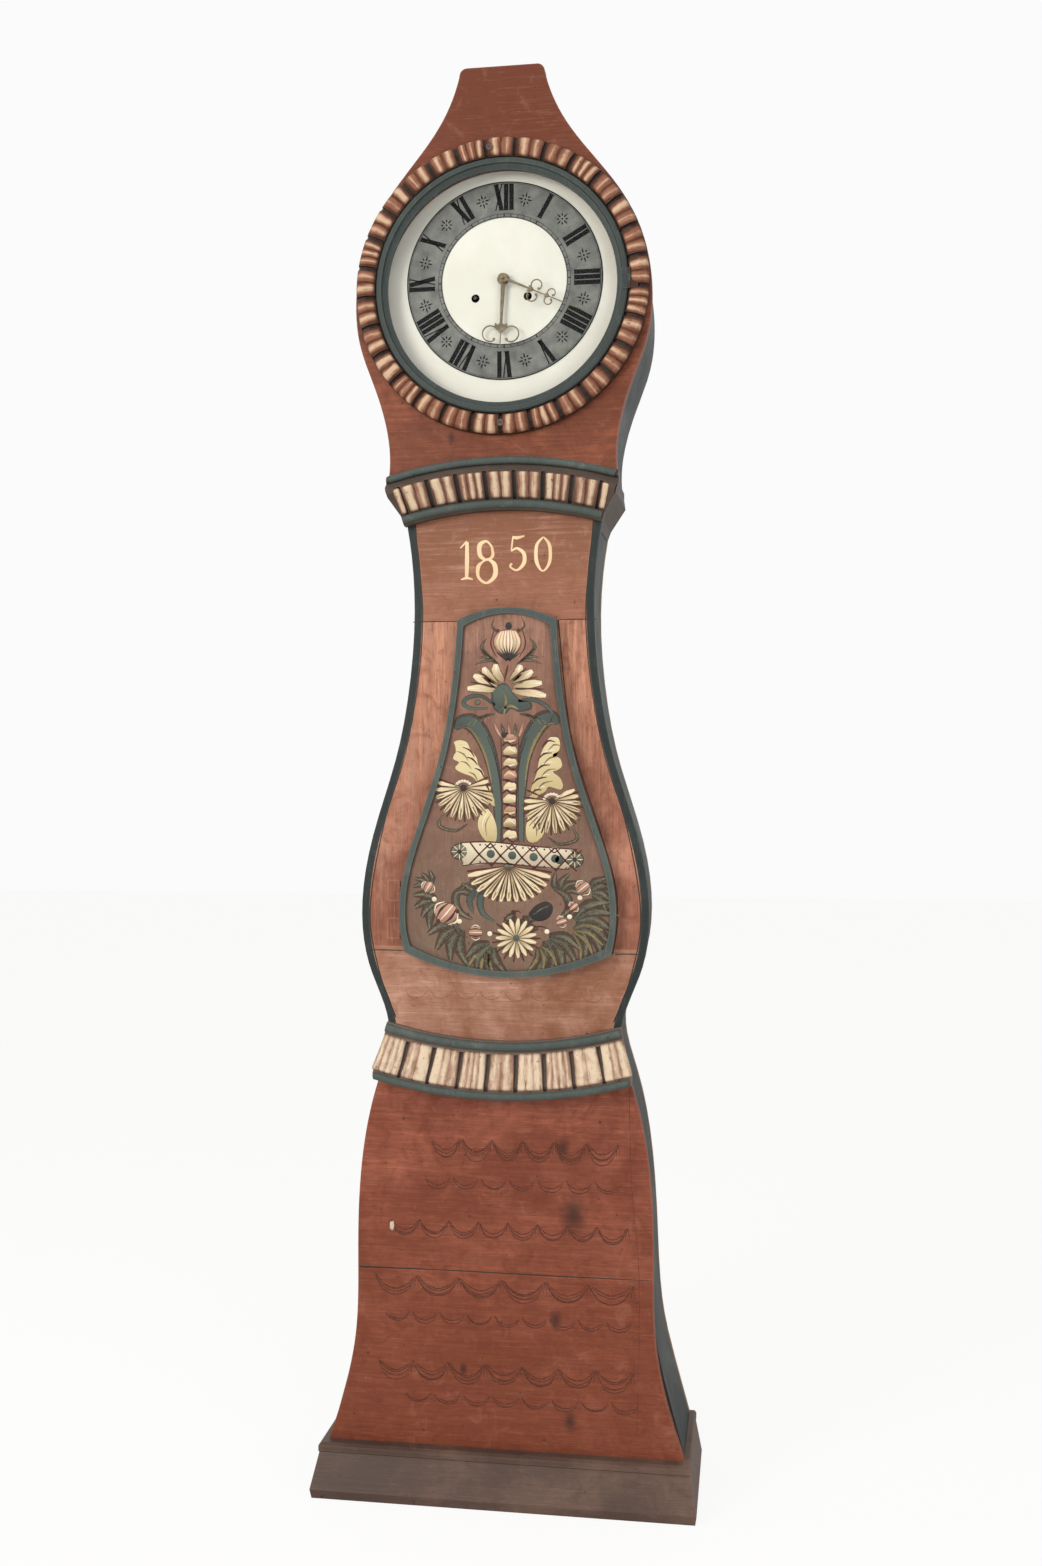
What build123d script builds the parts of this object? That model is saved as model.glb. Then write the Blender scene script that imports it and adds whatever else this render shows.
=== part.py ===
"""Long-case clock of the mora kind: pear-shaped pine case, lift-off hood, glazed dial door,
painted waist door and an eight-day movement with two weights, two bells and a seconds pendulum.

Millimetres. +Z is up, the front faces -Y, +X is the right-hand side seen from the front.
The origin lies on the floor, under the middle of the case.
"""
from build123d import *
import math
import os

# ---- driving sizes: case -------------------------------------------------------------------
HEIGHT = 2100.0             # floor to the flat top of the crown
RISE = HEIGHT / 2100.0      # the heights below are drawn for a clock of 2100
BACK_Y = 115.0              # back face of the backboard
BACK_THICK = 12.0
FRONT_Y = -74.0             # front face of the case boards
FRONT_THICK = 18.0
SIDE_THICK = 11.0           # front lip of a bent side, measured level
BODY_THICK = 9.0            # bent side behind the front boards
BODY_STEP = 8.0             # the sides stand back under the front boards by this much
FOOT_STEPS = [0.0, -3.0, -1.0, 5.0]     # but they flare out to meet the plinth
SEAM = 0.2                  # glued joint between a front board and the bent side
CASE_OUTLINE = [            # height and half width of the case, floor to shoulder
    (z * RISE, half) for z, half in (
        (75, 264), (162, 237), (227, 224), (365, 219.5), (477, 215), (601, 192), (697, 173), (776, 200),
        (864, 213.5), (987, 193.5), (1093, 161), (1199, 141), (1308, 133.5), (1431, 144),
    )
]
BODY_OUTLINE = [
    (z, half - (FOOT_STEPS[i] if i < len(FOOT_STEPS) else BODY_STEP))
    for i, (z, half) in enumerate(CASE_OUTLINE)
]
FOOT_Z = 12.0               # lower edge of the boards, hidden by the plinth
DIAL_Z = 1793.0 * RISE      # centre of the dial and of the hands
SEAT_Z = DIAL_Z - 71.0      # top of the seat board that carries the movement
SEAT_THICK = 20.0
BASE_JOINT_Z = 333.0 * RISE     # glued joint between the two base boards
BASE_TOP_Z = 650.0 * RISE       # base boards end here, behind the lower moulding
RAIL_LOW_Z = 811.0 * RISE       # lower rail of the waist ends here
RAIL_HIGH_Z = 1292.0 * RISE     # top rail of the waist starts here
NECK_Z = 1505.0 * RISE          # hood seat at the two ends of the upper moulding

# ---- driving sizes: mouldings and plinth -----------------------------------------------------
UPPER_RISE = 24.0           # how far the upper moulding arches up over its half width
HOOD_SEAT = 24.5            # the hood stands this far outside the shoulder of the case
UPPER_HALF = CASE_OUTLINE[-1][1] + HOOD_SEAT            # the arch is measured over the seat of the hood
UPPER_END = UPPER_HALF + 2.5
LOWER_Z = 700.0 * RISE      # top of the lower moulding at its two ends
LOWER_SAG = 24.5            # how far the lower moulding hangs down
LOWER_HALF = 172.0
UPPER_PROFILE = [           # forward of the case boards, and down from the top of the moulding
    (0, 0), (22, 0), (26, 4), (26, 8), (23, 11), (26, 13), (34, 23), (33, 28), (23, 44), (14, 60),
    (17, 63), (17, 72), (13, 76), (0, 76),
]
LOWER_PROFILE = [
    (0, 0), (11, 0), (14, 4), (14, 11), (11, 15), (13, 20), (20, 45), (30, 64), (30, 70), (34, 73),
    (34, 80), (30, 83), (0, 83),
]
UPPER_FLUTED = slice(6, 10)     # the part of each profile that is fluted
LOWER_FLUTED = slice(5, 9)
GROOVE_WIDTH = 6.0          # open recess between two groups of flutes
GROOVE_DEPTH = 4.5
FLUTE_GAP = 1.6             # narrow cut between the flutes of one group
UPPER_PITCH = 45.0          # one group of flutes on the upper moulding
UPPER_PHASE = 0.46          # the first recess stands this share of a pitch right of the middle
LOWER_PITCH = 39.2          # nine groups on the lower moulding
SPOKE_REACH = 56.0          # the cutters reach this far in front of the case boards
SPOKE_PAST = 0.7            # a cut runs this far past the surface it opens
PLINTH_SPREAD = 19.0        # how far the plinth runs out beyond the foot of the case
PLINTH_FRONT = FRONT_Y - 41.0
PLINTH_HEIGHT = 75.0

# ---- driving sizes: waist door ---------------------------------------------------------------
DOOR_X = 7.0                # the door sits a little right of the middle
DOOR_OUTLINE = [            # height and half width of the door, lower corner to upper corner
    (z * RISE, half) for z, half in (
        (805, 152.5), (838, 158.5), (866, 160), (913, 155), (985, 134), (1087, 101), (1160, 86), (1292, 73),
    )
]
DOOR_SAG = 35.0             # how far the lower edge hangs below its corners
DOOR_ARCH = 18.0            # how far the upper edge rises above its corners
DOOR_THICK = 14.0
DOOR_GAP = 0.3
DOOR_OVERLAP = 14.0         # the door laps over the boards by this much all round
FRAME_WIDTH = 9.0
FRAME_THICK = 4.5
HINGE_HEIGHTS = [838.0 * RISE, 894.0 * RISE]
HINGE_LENGTH = 30.0
HINGE_RADIUS = 2.5
HINGE_PIN = 1.1
HINGE_PLAY = 0.06
LEAF_THICK = 1.5
LEAF_WIDTH = 18.0

# ---- driving sizes: hood -----------------------------------------------------------------------
DIAL_DOOR_RADIUS = 185.5
DIAL_DOOR_PLAY = 1.5
DIAL_DOOR_WIDTH = 16.5
BEZEL_Z = DIAL_Z - 16.0     # centre of the round opening
BEZEL_INNER = DIAL_DOOR_RADIUS + DIAL_DOOR_PLAY
BEZEL_WIDTH = 29.0
BEZEL_OUTER = BEZEL_INNER + BEZEL_WIDTH
BEZEL_GROUPS = 29
HOOD_OUTLINE = [            # height and half width of the hood, seat to crown, widest beside the ring
    (z * RISE, half) for z, half in (
        (1505, UPPER_HALF), (1566, UPPER_HALF + 2), (1636, BEZEL_OUTER - 26), (1703, BEZEL_OUTER - 3),
        (1758, BEZEL_OUTER + 2.5), (1829, BEZEL_OUTER - 6), (1899, BEZEL_OUTER - 36),
        (1950, 143), (1986, 114), (2021, 90), (2056, 73), (2088, 63),
    )
]
HOOD_FRONT_Y = FRONT_Y - 16.0
HOOD_THICK = 18.0
HOOD_SIDE_THICK = 9.0
HOOD_STEP = 8.0             # the hood's sides and top stand back under its front board
HOOD_GAP = 0.4
CROWN_RADIUS = 12.0
CROWN_THICK = 14.0
DIAL_DOOR_LAP = 9.5         # the dial door laps over the edge of the round opening
OPENING_RADIUS = DIAL_DOOR_RADIUS - DIAL_DOOR_LAP
SIGHT_RADIUS = DIAL_DOOR_RADIUS - DIAL_DOOR_WIDTH       # glass that can be seen
GLASS_LAP = 4.0
GLASS_RADIUS = SIGHT_RADIUS + GLASS_LAP
GLASS_THICK = 2.6
DIAL_HINGE_LENGTH = 30.0
DIAL_HINGE_RADIUS = 2.2
SCREW_RADIUS = 2.5
SCREW_CIRCLE = BEZEL_INNER + 13.5

# ---- driving sizes: dial and hands ----------------------------------------------------------
DIAL_LAP = 4.0              # the dial reaches this far behind the edge of the opening
DIAL_RADIUS = OPENING_RADIUS + DIAL_LAP
DIAL_FRONT_Y = HOOD_FRONT_Y + HOOD_THICK + 3.5
DIAL_THICK = 1.5
CHAPTER_OUTER = 146.0
CHAPTER_INNER = 93.0
CHAPTER_THICK = 0.8
WINDING_HOLE = 6.2
HOUR_HAND_LENGTH = 104.0
MINUTE_HAND_LENGTH = 134.0
HOUR_ANGLE = 183.0          # clockwise from twelve
MINUTE_ANGLE = 114.0

# ---- driving sizes: movement ------------------------------------------------------------------
PLATE_FRONT_Y = DIAL_FRONT_Y + 20.5     # front face of the front plate
PLATE_GAP = 39.0            # between the plates
PLATE_THICK = 2.5
PLATE_LEFT, PLATE_RIGHT = -86.0, 80.0
PLATE_TOP = DIAL_Z + 83.0
GOING_X, STRIKE_X = 35.0, -43.0
DRUM_Z = DIAL_Z - 24.0
DRUM_RADIUS = 18.0
DRUM_FLANGE = 20.5
PIVOT = 1.0
PIVOT_PLAY = 0.05
ARBOR = 1.6
TRAIN_ARBOR = 1.2
DRUM_ARBOR = 3.0
LINE_RADIUS = 0.8
LINE_GAP = 0.3

# ---- driving sizes: weights and pendulum -------------------------------------------------------
WEIGHT_RADIUS = 28.0
WEIGHT_LENGTH = 170.0
WEIGHT_LOW_Z = 70.0
PULLEY_RADIUS = 21.0
PULLEY_FLANGE = 24.0
PULLEY_THICK = 7.0
PULLEY_RISE = 58.0          # pulley centre above the top of its weight
LINE_Y = -25.0              # plane in which the lines hang
PENDULUM_Y = 24.0
PENDULUM_PIVOT_Z = DIAL_Z + 67.0
PENDULUM_LENGTH = 994.0     # beats seconds
BOB_RADIUS = 78.0
BOB_THICK = 22.0
ROD_RADIUS = 2.5
SUSPENSION_PIN = 2.0        # round pin that lies across the cock
SUSPENSION_WIDTH = 7.0

FAR = 400.0                 # half size of a cutter that runs past everything

os.makedirs("parts", exist_ok=True)


# ---- helpers ---------------------------------------------------------------------------------
def save(name, *solids):
    """Write one node; several solids are the like pieces of that node."""
    shape = solids[0] if len(solids) == 1 else Compound(children=list(solids))
    export_step(shape, f"parts/{name}.step")


def slab(face, front_y, thick):
    """Extrude a face drawn in X and Z from front_y towards the back."""
    plane = Plane(origin=(0, front_y, 0), x_dir=(1, 0, 0), z_dir=(0, -1, 0))
    return extrude(plane * face, amount=-thick).solid()


def slabs(face, front_y, thick):
    """As slab, for a face that is in several pieces."""
    plane = Plane(origin=(0, front_y, 0), x_dir=(1, 0, 0), z_dir=(0, -1, 0))
    return extrude(plane * face, amount=-thick).solids()


def band(low_z, high_z, half=FAR):
    """A wide rectangle between two heights, for trimming faces."""
    return Pos(0, (low_z + high_z) / 2) * Rectangle(2 * half, high_z - low_z)


def block(x0, x1, y0, y1, z0, z1):
    """A box from its six faces."""
    return Pos((x0 + x1) / 2, (y0 + y1) / 2, (z0 + z1) / 2) * Box(x1 - x0, y1 - y0, z1 - z0)


def rod_y(x, z, y0, y1, radius):
    """A round rod that runs from front to back."""
    return Pos(x, (y0 + y1) / 2, z) * Rot(90, 0, 0) * Cylinder(radius, y1 - y0)


def rod_z(x, y, z0, z1, radius):
    """A round upright rod."""
    return Pos(x, y, (z0 + z1) / 2) * Cylinder(radius, z1 - z0)


def turned_y(x, z, profile):
    """Turn (radius, y) points about a front-to-back axis."""
    face = make_face(Polyline(*profile, close=True))
    return Pos(x, 0, z) * revolve(face, Axis.Y).solid()


def turned_z(x, y, profile):
    """Turn (radius, z) points about an upright axis."""
    face = make_face(Plane.XZ * Polyline(*profile, close=True))
    return Pos(x, y, 0) * revolve(face, Axis.Z).solid()


def side_curve(outline, inset=0.0, offset_x=0.0):
    """Smooth right-hand edge through (height, half width) pairs."""
    return Spline(*[(offset_x + half - inset, z) for z, half in outline])


def mirrored(shape):
    return mirror(shape, about=Plane.YZ)


def case_face(inset, foot_z, top_z, outline=CASE_OUTLINE):
    """Front view of the case between its two sides, each moved in by inset."""
    curve = side_curve(outline, inset)
    low, high = curve @ 0, curve @ 1
    foot = Line((low.X, foot_z), low)
    neck = Line(high, (high.X, top_z))
    right = [foot, curve, neck]
    left = [mirrored(edge) for edge in right]
    sill = Line((-low.X, foot_z), (low.X, foot_z))
    head = Line((-high.X, top_z), (high.X, top_z))
    return make_face(right + left + [sill, head])


def hood_face(inset, crown_z, seat_rise):
    """Front view of the hood; its lower edge arches up by seat_rise."""
    curve = side_curve(HOOD_OUTLINE, inset)
    low, high = curve @ 0, curve @ 1
    crown_x = high.X - CROWN_RADIUS
    corner = ThreePointArc(
        high, (crown_x + 0.72 * CROWN_RADIUS, crown_z - 0.28 * (crown_z - high.Y)), (crown_x, crown_z)
    )
    right = [curve, corner]
    left = [mirrored(edge) for edge in right]
    crown = Line((-crown_x, crown_z), (crown_x, crown_z))
    if seat_rise:
        seat = ThreePointArc((-low.X, low.Y), (0, low.Y + seat_rise), (low.X, low.Y))
    else:
        seat = Line((-low.X, low.Y), (low.X, low.Y))
    return make_face(right + left + [crown, seat])


def door_face(inset):
    """Bell-shaped outline of the waist door, moved in by inset all round."""
    half = [(z, w - inset) for z, w in DOOR_OUTLINE]
    low_z, high_z = half[0][0] + inset, half[-1][0] - inset
    inner = [(low_z, half[0][1])] + half[1:-1] + [(high_z, half[-1][1])]
    right = Spline(*[(DOOR_X + w, z) for z, w in inner])
    left = Spline(*[(DOOR_X - w, z) for z, w in inner])
    sill = ThreePointArc(left @ 0, (DOOR_X, low_z - DOOR_SAG), right @ 0)
    head = ThreePointArc(left @ 1, (DOOR_X, high_z + DOOR_ARCH), right @ 1)
    return make_face([right, left, sill, head])


def toothed_face(teeth, tip, root, tip_share, root_share, phase):
    """Toothed disc; the shares are parts of one pitch, phase is the angle of a tooth in degrees."""
    points = []
    pitch = 2 * math.pi / teeth
    for i in range(teeth):
        middle = math.radians(phase) + i * pitch
        for radius, angle in (
            (root, middle - root_share * pitch / 2),
            (tip, middle - tip_share * pitch / 2),
            (tip, middle + tip_share * pitch / 2),
            (root, middle + root_share * pitch / 2),
        ):
            points.append((radius * math.cos(angle), radius * math.sin(angle)))
    return make_face(Polyline(*points, close=True))


def crossings(hub, rim, arms, arm_width, turn=0.0):
    """The windows between a wheel's arms."""
    arm = Rectangle(2 * rim + 2, arm_width)
    cross = arm if arms == 2 else arm + Rot(0, 0, 90) * arm
    return Rot(0, 0, turn) * (Circle(rim) - Circle(hub) - cross)


# Tooth proportions: addendum and dedendum in modules, widths as shares of the pitch.
WHEEL_ADDENDUM, WHEEL_DEDENDUM = 1.0, 1.35
WHEEL_TIP_SHARE, WHEEL_ROOT_SHARE = 0.16, 0.58
LEAF_ADDENDUM, LEAF_DEDENDUM = 0.6, 1.45
LEAF_TIP_SHARE, LEAF_ROOT_SHARE = 0.17, 0.3


def wheel_face(teeth, module, phase):
    pitch = teeth * module / 2
    return toothed_face(
        teeth, pitch + WHEEL_ADDENDUM * module, pitch - WHEEL_DEDENDUM * module,
        WHEEL_TIP_SHARE, WHEEL_ROOT_SHARE, phase,
    )


def pinion_face(leaves, module, phase):
    pitch = leaves * module / 2
    return toothed_face(
        leaves, pitch + LEAF_ADDENDUM * module, pitch - LEAF_DEDENDUM * module,
        LEAF_TIP_SHARE, LEAF_ROOT_SHARE, phase,
    )


def bearing(a, b):
    """Angle in degrees from point a to point b in the X, Z view."""
    return math.degrees(math.atan2(b[1] - a[1], b[0] - a[0]))


def distance(a, b):
    return math.hypot(b[0] - a[0], b[1] - a[1])


def placed(face, centre, front_y, thick):
    return slab(Pos(*centre) * face, front_y, thick)


# ---- case ----------------------------------------------------------------------------------
BOARD_BACK_Y = FRONT_Y + FRONT_THICK
PANEL_Y = BACK_Y - BACK_THICK           # front face of the backboard
SEAT_LOW = SEAT_Z - SEAT_THICK
SHOULDER = CASE_OUTLINE[-1][1]
BODY_SHOULDER = BODY_OUTLINE[-1][1]
FOOT_HALF = CASE_OUTLINE[0][1]


def make_backboard():
    """One full-height board, sawn to the outline of the case and the hood."""
    clear = 1.5
    case = case_face(0, FOOT_Z, NECK_Z, BODY_OUTLINE)
    hood = hood_face(HOOD_STEP + clear, HEIGHT - clear, 0)
    save("backboard", slab(case + hood, PANEL_Y, BACK_THICK))


def make_sides():
    """Bent side boards; they run on upwards inside the hood and carry the seat board."""
    body = case_face(0, FOOT_Z, SEAT_LOW, BODY_OUTLINE)
    body -= case_face(BODY_THICK, FOOT_Z - 1, SEAT_LOW + 1, BODY_OUTLINE)
    whole = slabs(body, BOARD_BACK_Y, PANEL_Y - BOARD_BACK_Y)
    edge = case_face(0, FOOT_Z, NECK_Z) - case_face(SIDE_THICK, FOOT_Z - 1, NECK_Z + 1)
    lip = slabs(edge & band(BASE_TOP_Z, NECK_Z), FRONT_Y, BOARD_BACK_Y - FRONT_Y)
    for name, pick in (("side_left", 0), ("side_right", -1)):
        save(name, (whole.sort_by(Axis.X)[pick] + lip.sort_by(Axis.X)[pick]).solid())


HINGE_X = DOOR_X - max(half for _, half in DOOR_OUTLINE) - HINGE_RADIUS - 0.8
HINGE_Y = FRONT_Y - DOOR_GAP / 2


def make_waist_boards():
    """Rails and stiles round the door opening, fitted between the bent sides."""
    field = case_face(SIDE_THICK + SEAM, FOOT_Z, NECK_Z)
    opening = door_face(DOOR_OVERLAP)
    save("top_rail", slab((field & band(RAIL_HIGH_Z, NECK_Z)) - opening, FRONT_Y, FRONT_THICK))
    save("lower_rail", slab((field & band(BASE_TOP_Z, RAIL_LOW_Z)) - opening, FRONT_Y, FRONT_THICK))
    stiles = slabs((field & band(RAIL_LOW_Z, RAIL_HIGH_Z)) - opening, FRONT_Y, FRONT_THICK)
    left = stiles.sort_by(Axis.X)[0]
    half = HINGE_LENGTH / 2 + HINGE_PLAY
    for z in HINGE_HEIGHTS:
        left -= block(HINGE_X - HINGE_RADIUS - 0.3, HINGE_X + HINGE_RADIUS + 1.2,
                      FRONT_Y - 1, HINGE_Y + HINGE_RADIUS + 0.3, z - half, z + half)
        left -= block(HINGE_X - LEAF_WIDTH, HINGE_X, FRONT_Y - 1, FRONT_Y + LEAF_THICK, z - half, z + half)
    save("stile_left", left.solid())
    save("stile_right", stiles.sort_by(Axis.X)[-1])


def make_base_boards():
    """Two wide level boards, glued edge to edge, that cover the edges of the sides."""
    field = case_face(0, FOOT_Z, BASE_TOP_Z + 100) & band(FOOT_Z, BASE_TOP_Z)
    save("base_board_upper", slab(field & band(BASE_JOINT_Z, BASE_TOP_Z), FRONT_Y, FRONT_THICK))
    save("base_board_lower", slab(field & band(FOOT_Z, BASE_JOINT_Z), FRONT_Y, FRONT_THICK))
    inner = FOOT_HALF - BODY_THICK - SEAM
    save("base_floor", block(-inner, inner, BOARD_BACK_Y, PANEL_Y, FOOT_Z + 6, FOOT_Z + 20))


def arc_radius(half, rise):
    return (half * half + rise * rise) / (2 * rise)


def curved_moulding(profile, centre_z, half_angle):
    """Sweep a (y, z) profile along an arc that is seen in the front view."""
    axis = Axis((0, 0, centre_z), (0, 1, 0))
    face = make_face(Plane.YZ * Polyline(*profile, close=True))
    swept = revolve(face, axis, revolution_arc=2 * half_angle)
    return swept.rotate(axis, -half_angle)


def spokes(centre_z, surface, depth, turns, width):
    """Cutters that stand like spokes on a moulding and reach depth behind its (y, z) surface."""
    (start_y, start), (end_y, end) = surface[0], surface[-1]
    past = math.copysign(SPOKE_PAST, start - end)
    bottom = [(y + depth, z) for y, z in [(start_y, start + past), *surface, (end_y, end - past)]]
    front = [(FRONT_Y - SPOKE_REACH, bottom[-1][1]), (FRONT_Y - SPOKE_REACH, bottom[0][1])]
    face = make_face(Plane.YZ * Polyline(*bottom, *front, close=True))
    cutter = extrude(face, amount=width / 2, both=True)
    return [Pos(0, 0, centre_z) * Rot(0, turn, 0) * cutter for turn in turns]


def fluted(shape, centre_z, surface, pitch, first, limit):
    """Cut wide recesses at every pitch, and a narrow cut half-way between them."""
    count = int(limit / pitch) + 2
    wide = [first + i * pitch for i in range(-count, count)]
    narrow = [turn + pitch / 2 for turn in wide]
    wide = [turn for turn in wide if abs(turn) < limit]
    narrow = [turn for turn in narrow if abs(turn) < limit]
    shape -= spokes(centre_z, surface, GROOVE_DEPTH, wide, GROOVE_WIDTH)
    shape -= spokes(centre_z, surface, GROOVE_DEPTH / 2, narrow, FLUTE_GAP)
    return shape


def make_upper_moulding():
    """Arched and fluted; the hood stands on it. Two plain returns carry it along the sides."""
    radius = arc_radius(UPPER_HALF, UPPER_RISE)
    top = NECK_Z + UPPER_RISE
    centre_z = top - radius
    profile = [(FRONT_Y - forward, top - down) for forward, down in UPPER_PROFILE]
    angle = math.degrees(math.asin((UPPER_END + 6) / radius))
    front = curved_moulding(profile, centre_z, angle)
    pitch = math.degrees(UPPER_PITCH / radius)
    surface = [(y, z - centre_z) for y, z in profile[UPPER_FLUTED]]
    front = fluted(front, centre_z, surface, pitch, UPPER_PHASE * pitch, angle)
    end = [
        (SHOULDER + 0.3, NECK_Z + 60), (UPPER_END, NECK_Z + 60), (UPPER_END, NECK_Z - 11),
        (UPPER_END + 2, NECK_Z - 25), (SHOULDER + 6, NECK_Z - 60), (SHOULDER + 1, NECK_Z - 77),
        (SHOULDER + 0.3, NECK_Z - 100),
    ]
    right = Polyline(*end)
    left = mirrored(right)
    trim = make_face([right, left, Line(right @ 0, left @ 0), Line(right @ 1, left @ 1)])
    front = front & slab(trim, PLINTH_FRONT, -PLINTH_FRONT)
    outer = UPPER_END - BODY_STEP
    back_end = [
        (BODY_SHOULDER, NECK_Z), (outer, NECK_Z), (outer, NECK_Z - 11), (outer + 2, NECK_Z - 25),
        (BODY_SHOULDER + 6, NECK_Z - 60), (BODY_SHOULDER + 1, NECK_Z - 74), (BODY_SHOULDER, NECK_Z - 74),
    ]
    end_face = make_face(Polyline(*back_end, close=True))
    beside_lip = end_face & (Pos(SHOULDER + FAR / 2, NECK_Z) * Rectangle(FAR, FAR))
    side = slab(end_face, BOARD_BACK_Y, PANEL_Y - BOARD_BACK_Y) + slab(beside_lip, FRONT_Y, FRONT_THICK)
    side = side.solid()
    save("upper_moulding", front.solid(), side, mirrored(side))


def make_lower_moulding():
    """Sagging and fluted; it flares out from the waist to the wider base."""
    radius = arc_radius(LOWER_HALF, LOWER_SAG)
    top = LOWER_Z - LOWER_SAG
    centre_z = top + radius
    profile = [(FRONT_Y - forward, top - down) for forward, down in LOWER_PROFILE]
    angle = math.degrees(math.asin((LOWER_HALF + 22) / radius))
    front = curved_moulding(profile, centre_z, angle)
    pitch = math.degrees(LOWER_PITCH / radius)
    surface = [(y, z - centre_z) for y, z in profile[LOWER_FLUTED]]
    front = fluted(front, centre_z, surface, pitch, pitch / 2, angle)
    end = [(60, 0), (0, 1), (-15, 4), (-45, 11), (-66, 17), (-82, 17), (-140, 15)]
    right = Spline(*[(LOWER_HALF + out, LOWER_Z + up) for up, out in end])
    left = mirrored(right)
    trim = make_face([right, left, Line(right @ 0, left @ 0), Line(right @ 1, left @ 1)])
    front = front & slab(trim, PLINTH_FRONT, -PLINTH_FRONT)
    save("lower_moulding", front.solid())


def make_plinth():
    """Three sloping boards with a bead on their upper edge, butted at the corners."""
    top = PLINTH_HEIGHT
    slope = [
        (0, 0), (PLINTH_SPREAD - 2, 0), (PLINTH_SPREAD, 14),
        (PLINTH_SPREAD / 2, top - 13), (PLINTH_SPREAD / 2 + 1, top - 11), (PLINTH_SPREAD / 2 + 1, top - 3),
        (PLINTH_SPREAD / 2 - 2, top), (0, top),
    ]
    scale = (FRONT_Y - PLINTH_FRONT) / PLINTH_SPREAD
    profile = make_face(Plane.YZ * Polyline(*[(FRONT_Y - d * scale, z) for d, z in slope], close=True))
    front = extrude(profile, amount=FOOT_HALF + PLINTH_SPREAD, both=True)
    ends = [(FOOT_HALF + d, z) for d, z in slope[1:-1]]
    right = Polyline((ends[0][0], -5), *ends, (ends[-1][0], top + 5))
    left = mirrored(right)
    trim = make_face([right, left, Line(right @ 0, left @ 0), Line(right @ 1, left @ 1)])
    front = front & slab(trim, PLINTH_FRONT - 5, 60)
    side_face = make_face(Polyline(*[(FOOT_HALF + d, z) for d, z in slope], close=True))
    side = slab(side_face, FRONT_Y, BACK_Y - FRONT_Y)
    save("plinth", front.solid(), side, mirrored(side))


def make_seat_board():
    """Lies on the ends of the side boards; slots let the lines and the pendulum through."""
    board = block(-BODY_SHOULDER, BODY_SHOULDER, BOARD_BACK_Y, 62, SEAT_LOW, SEAT_Z)
    for x in (GOING_X + line_offset(), STRIKE_X - line_offset()):
        board -= block(x - 6, x + 6, LINE_Y - 14, LINE_Y + 14, SEAT_LOW - 1, SEAT_Z + 1)
    for x in (GOING_X + line_offset() + 2 * pulley_line(), STRIKE_X - line_offset() - 2 * pulley_line()):
        board -= rod_z(x, LINE_Y, SEAT_LOW - 1, SEAT_Z + 1, LINE_RADIUS + LINE_GAP)
    board -= block(-22, 22, PENDULUM_Y - 12, 63, SEAT_LOW - 1, SEAT_Z + 1)
    save("seat_board", board.solid())


# ---- waist door --------------------------------------------------------------------------------
DOOR_BACK_Y = FRONT_Y - DOOR_GAP


def make_waist_door():
    """A flat panel that laps over its opening, with a beaded frame planted on its edge."""
    panel = slab(door_face(0), DOOR_BACK_Y - DOOR_THICK, DOOR_THICK)
    half = HINGE_LENGTH / 2 + HINGE_PLAY
    for z in HINGE_HEIGHTS:
        panel -= block(HINGE_X, HINGE_X + LEAF_WIDTH, DOOR_BACK_Y - LEAF_THICK, DOOR_BACK_Y + 1,
                       z - half, z + half)
    save("door_panel", panel.solid())
    frame = slab(door_face(0) - door_face(FRAME_WIDTH), DOOR_BACK_Y - DOOR_THICK - FRAME_THICK, FRAME_THICK)
    save("door_frame", frame)


def make_waist_hinges():
    """Two butt hinges: outer knuckles and pin on the case, middle knuckle on the door."""
    third = HINGE_LENGTH / 3
    fixed, moving = [], []
    for z in HINGE_HEIGHTS:
        low, high = z - HINGE_LENGTH / 2, z + HINGE_LENGTH / 2
        leaf = block(HINGE_X - LEAF_WIDTH, HINGE_X, FRONT_Y, FRONT_Y + LEAF_THICK, low, high)
        leaf -= block(HINGE_X - HINGE_RADIUS - 0.4, HINGE_X + 1, FRONT_Y - 1, FRONT_Y + 3,
                      low + third - HINGE_PLAY, high - third + HINGE_PLAY)
        part = leaf + rod_z(HINGE_X, HINGE_Y, low, low + third, HINGE_RADIUS)
        part += rod_z(HINGE_X, HINGE_Y, high - third, high, HINGE_RADIUS)
        part += rod_z(HINGE_X, HINGE_Y, low, high, HINGE_PIN)
        fixed.append(part.solid())
        plate = block(HINGE_X, HINGE_X + LEAF_WIDTH, DOOR_BACK_Y - LEAF_THICK, DOOR_BACK_Y, low, high)
        for z0, z1 in ((low - 1, low + third + HINGE_PLAY), (high - third - HINGE_PLAY, high + 1)):
            plate -= block(HINGE_X - 1, HINGE_X + HINGE_RADIUS + 0.4, FRONT_Y - 5, FRONT_Y + 5, z0, z1)
        middle = rod_z(HINGE_X, HINGE_Y, low + third + HINGE_PLAY, high - third - HINGE_PLAY, HINGE_RADIUS)
        part = plate + middle - rod_z(HINGE_X, HINGE_Y, low - 1, high + 1, HINGE_PIN + HINGE_PLAY)
        moving.append(part.solid())
    save("waist_hinge_leaves", *fixed)
    save("door_hinge_leaves", *moving)


# ---- hood --------------------------------------------------------------------------------------
HOOD_BOARD_BACK = HOOD_FRONT_Y + HOOD_THICK
HOOD_BACK_Y = PANEL_Y - HOOD_GAP
DIAL_DOOR_BACK = HOOD_FRONT_Y - 0.3
DIAL_DOOR_FRONT = HOOD_FRONT_Y - 14.0
DIAL_HINGE_X = BEZEL_INNER + 0.5
DIAL_HINGE_Y = DIAL_DOOR_FRONT - 1.0 - DIAL_HINGE_RADIUS + 1.0


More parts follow.
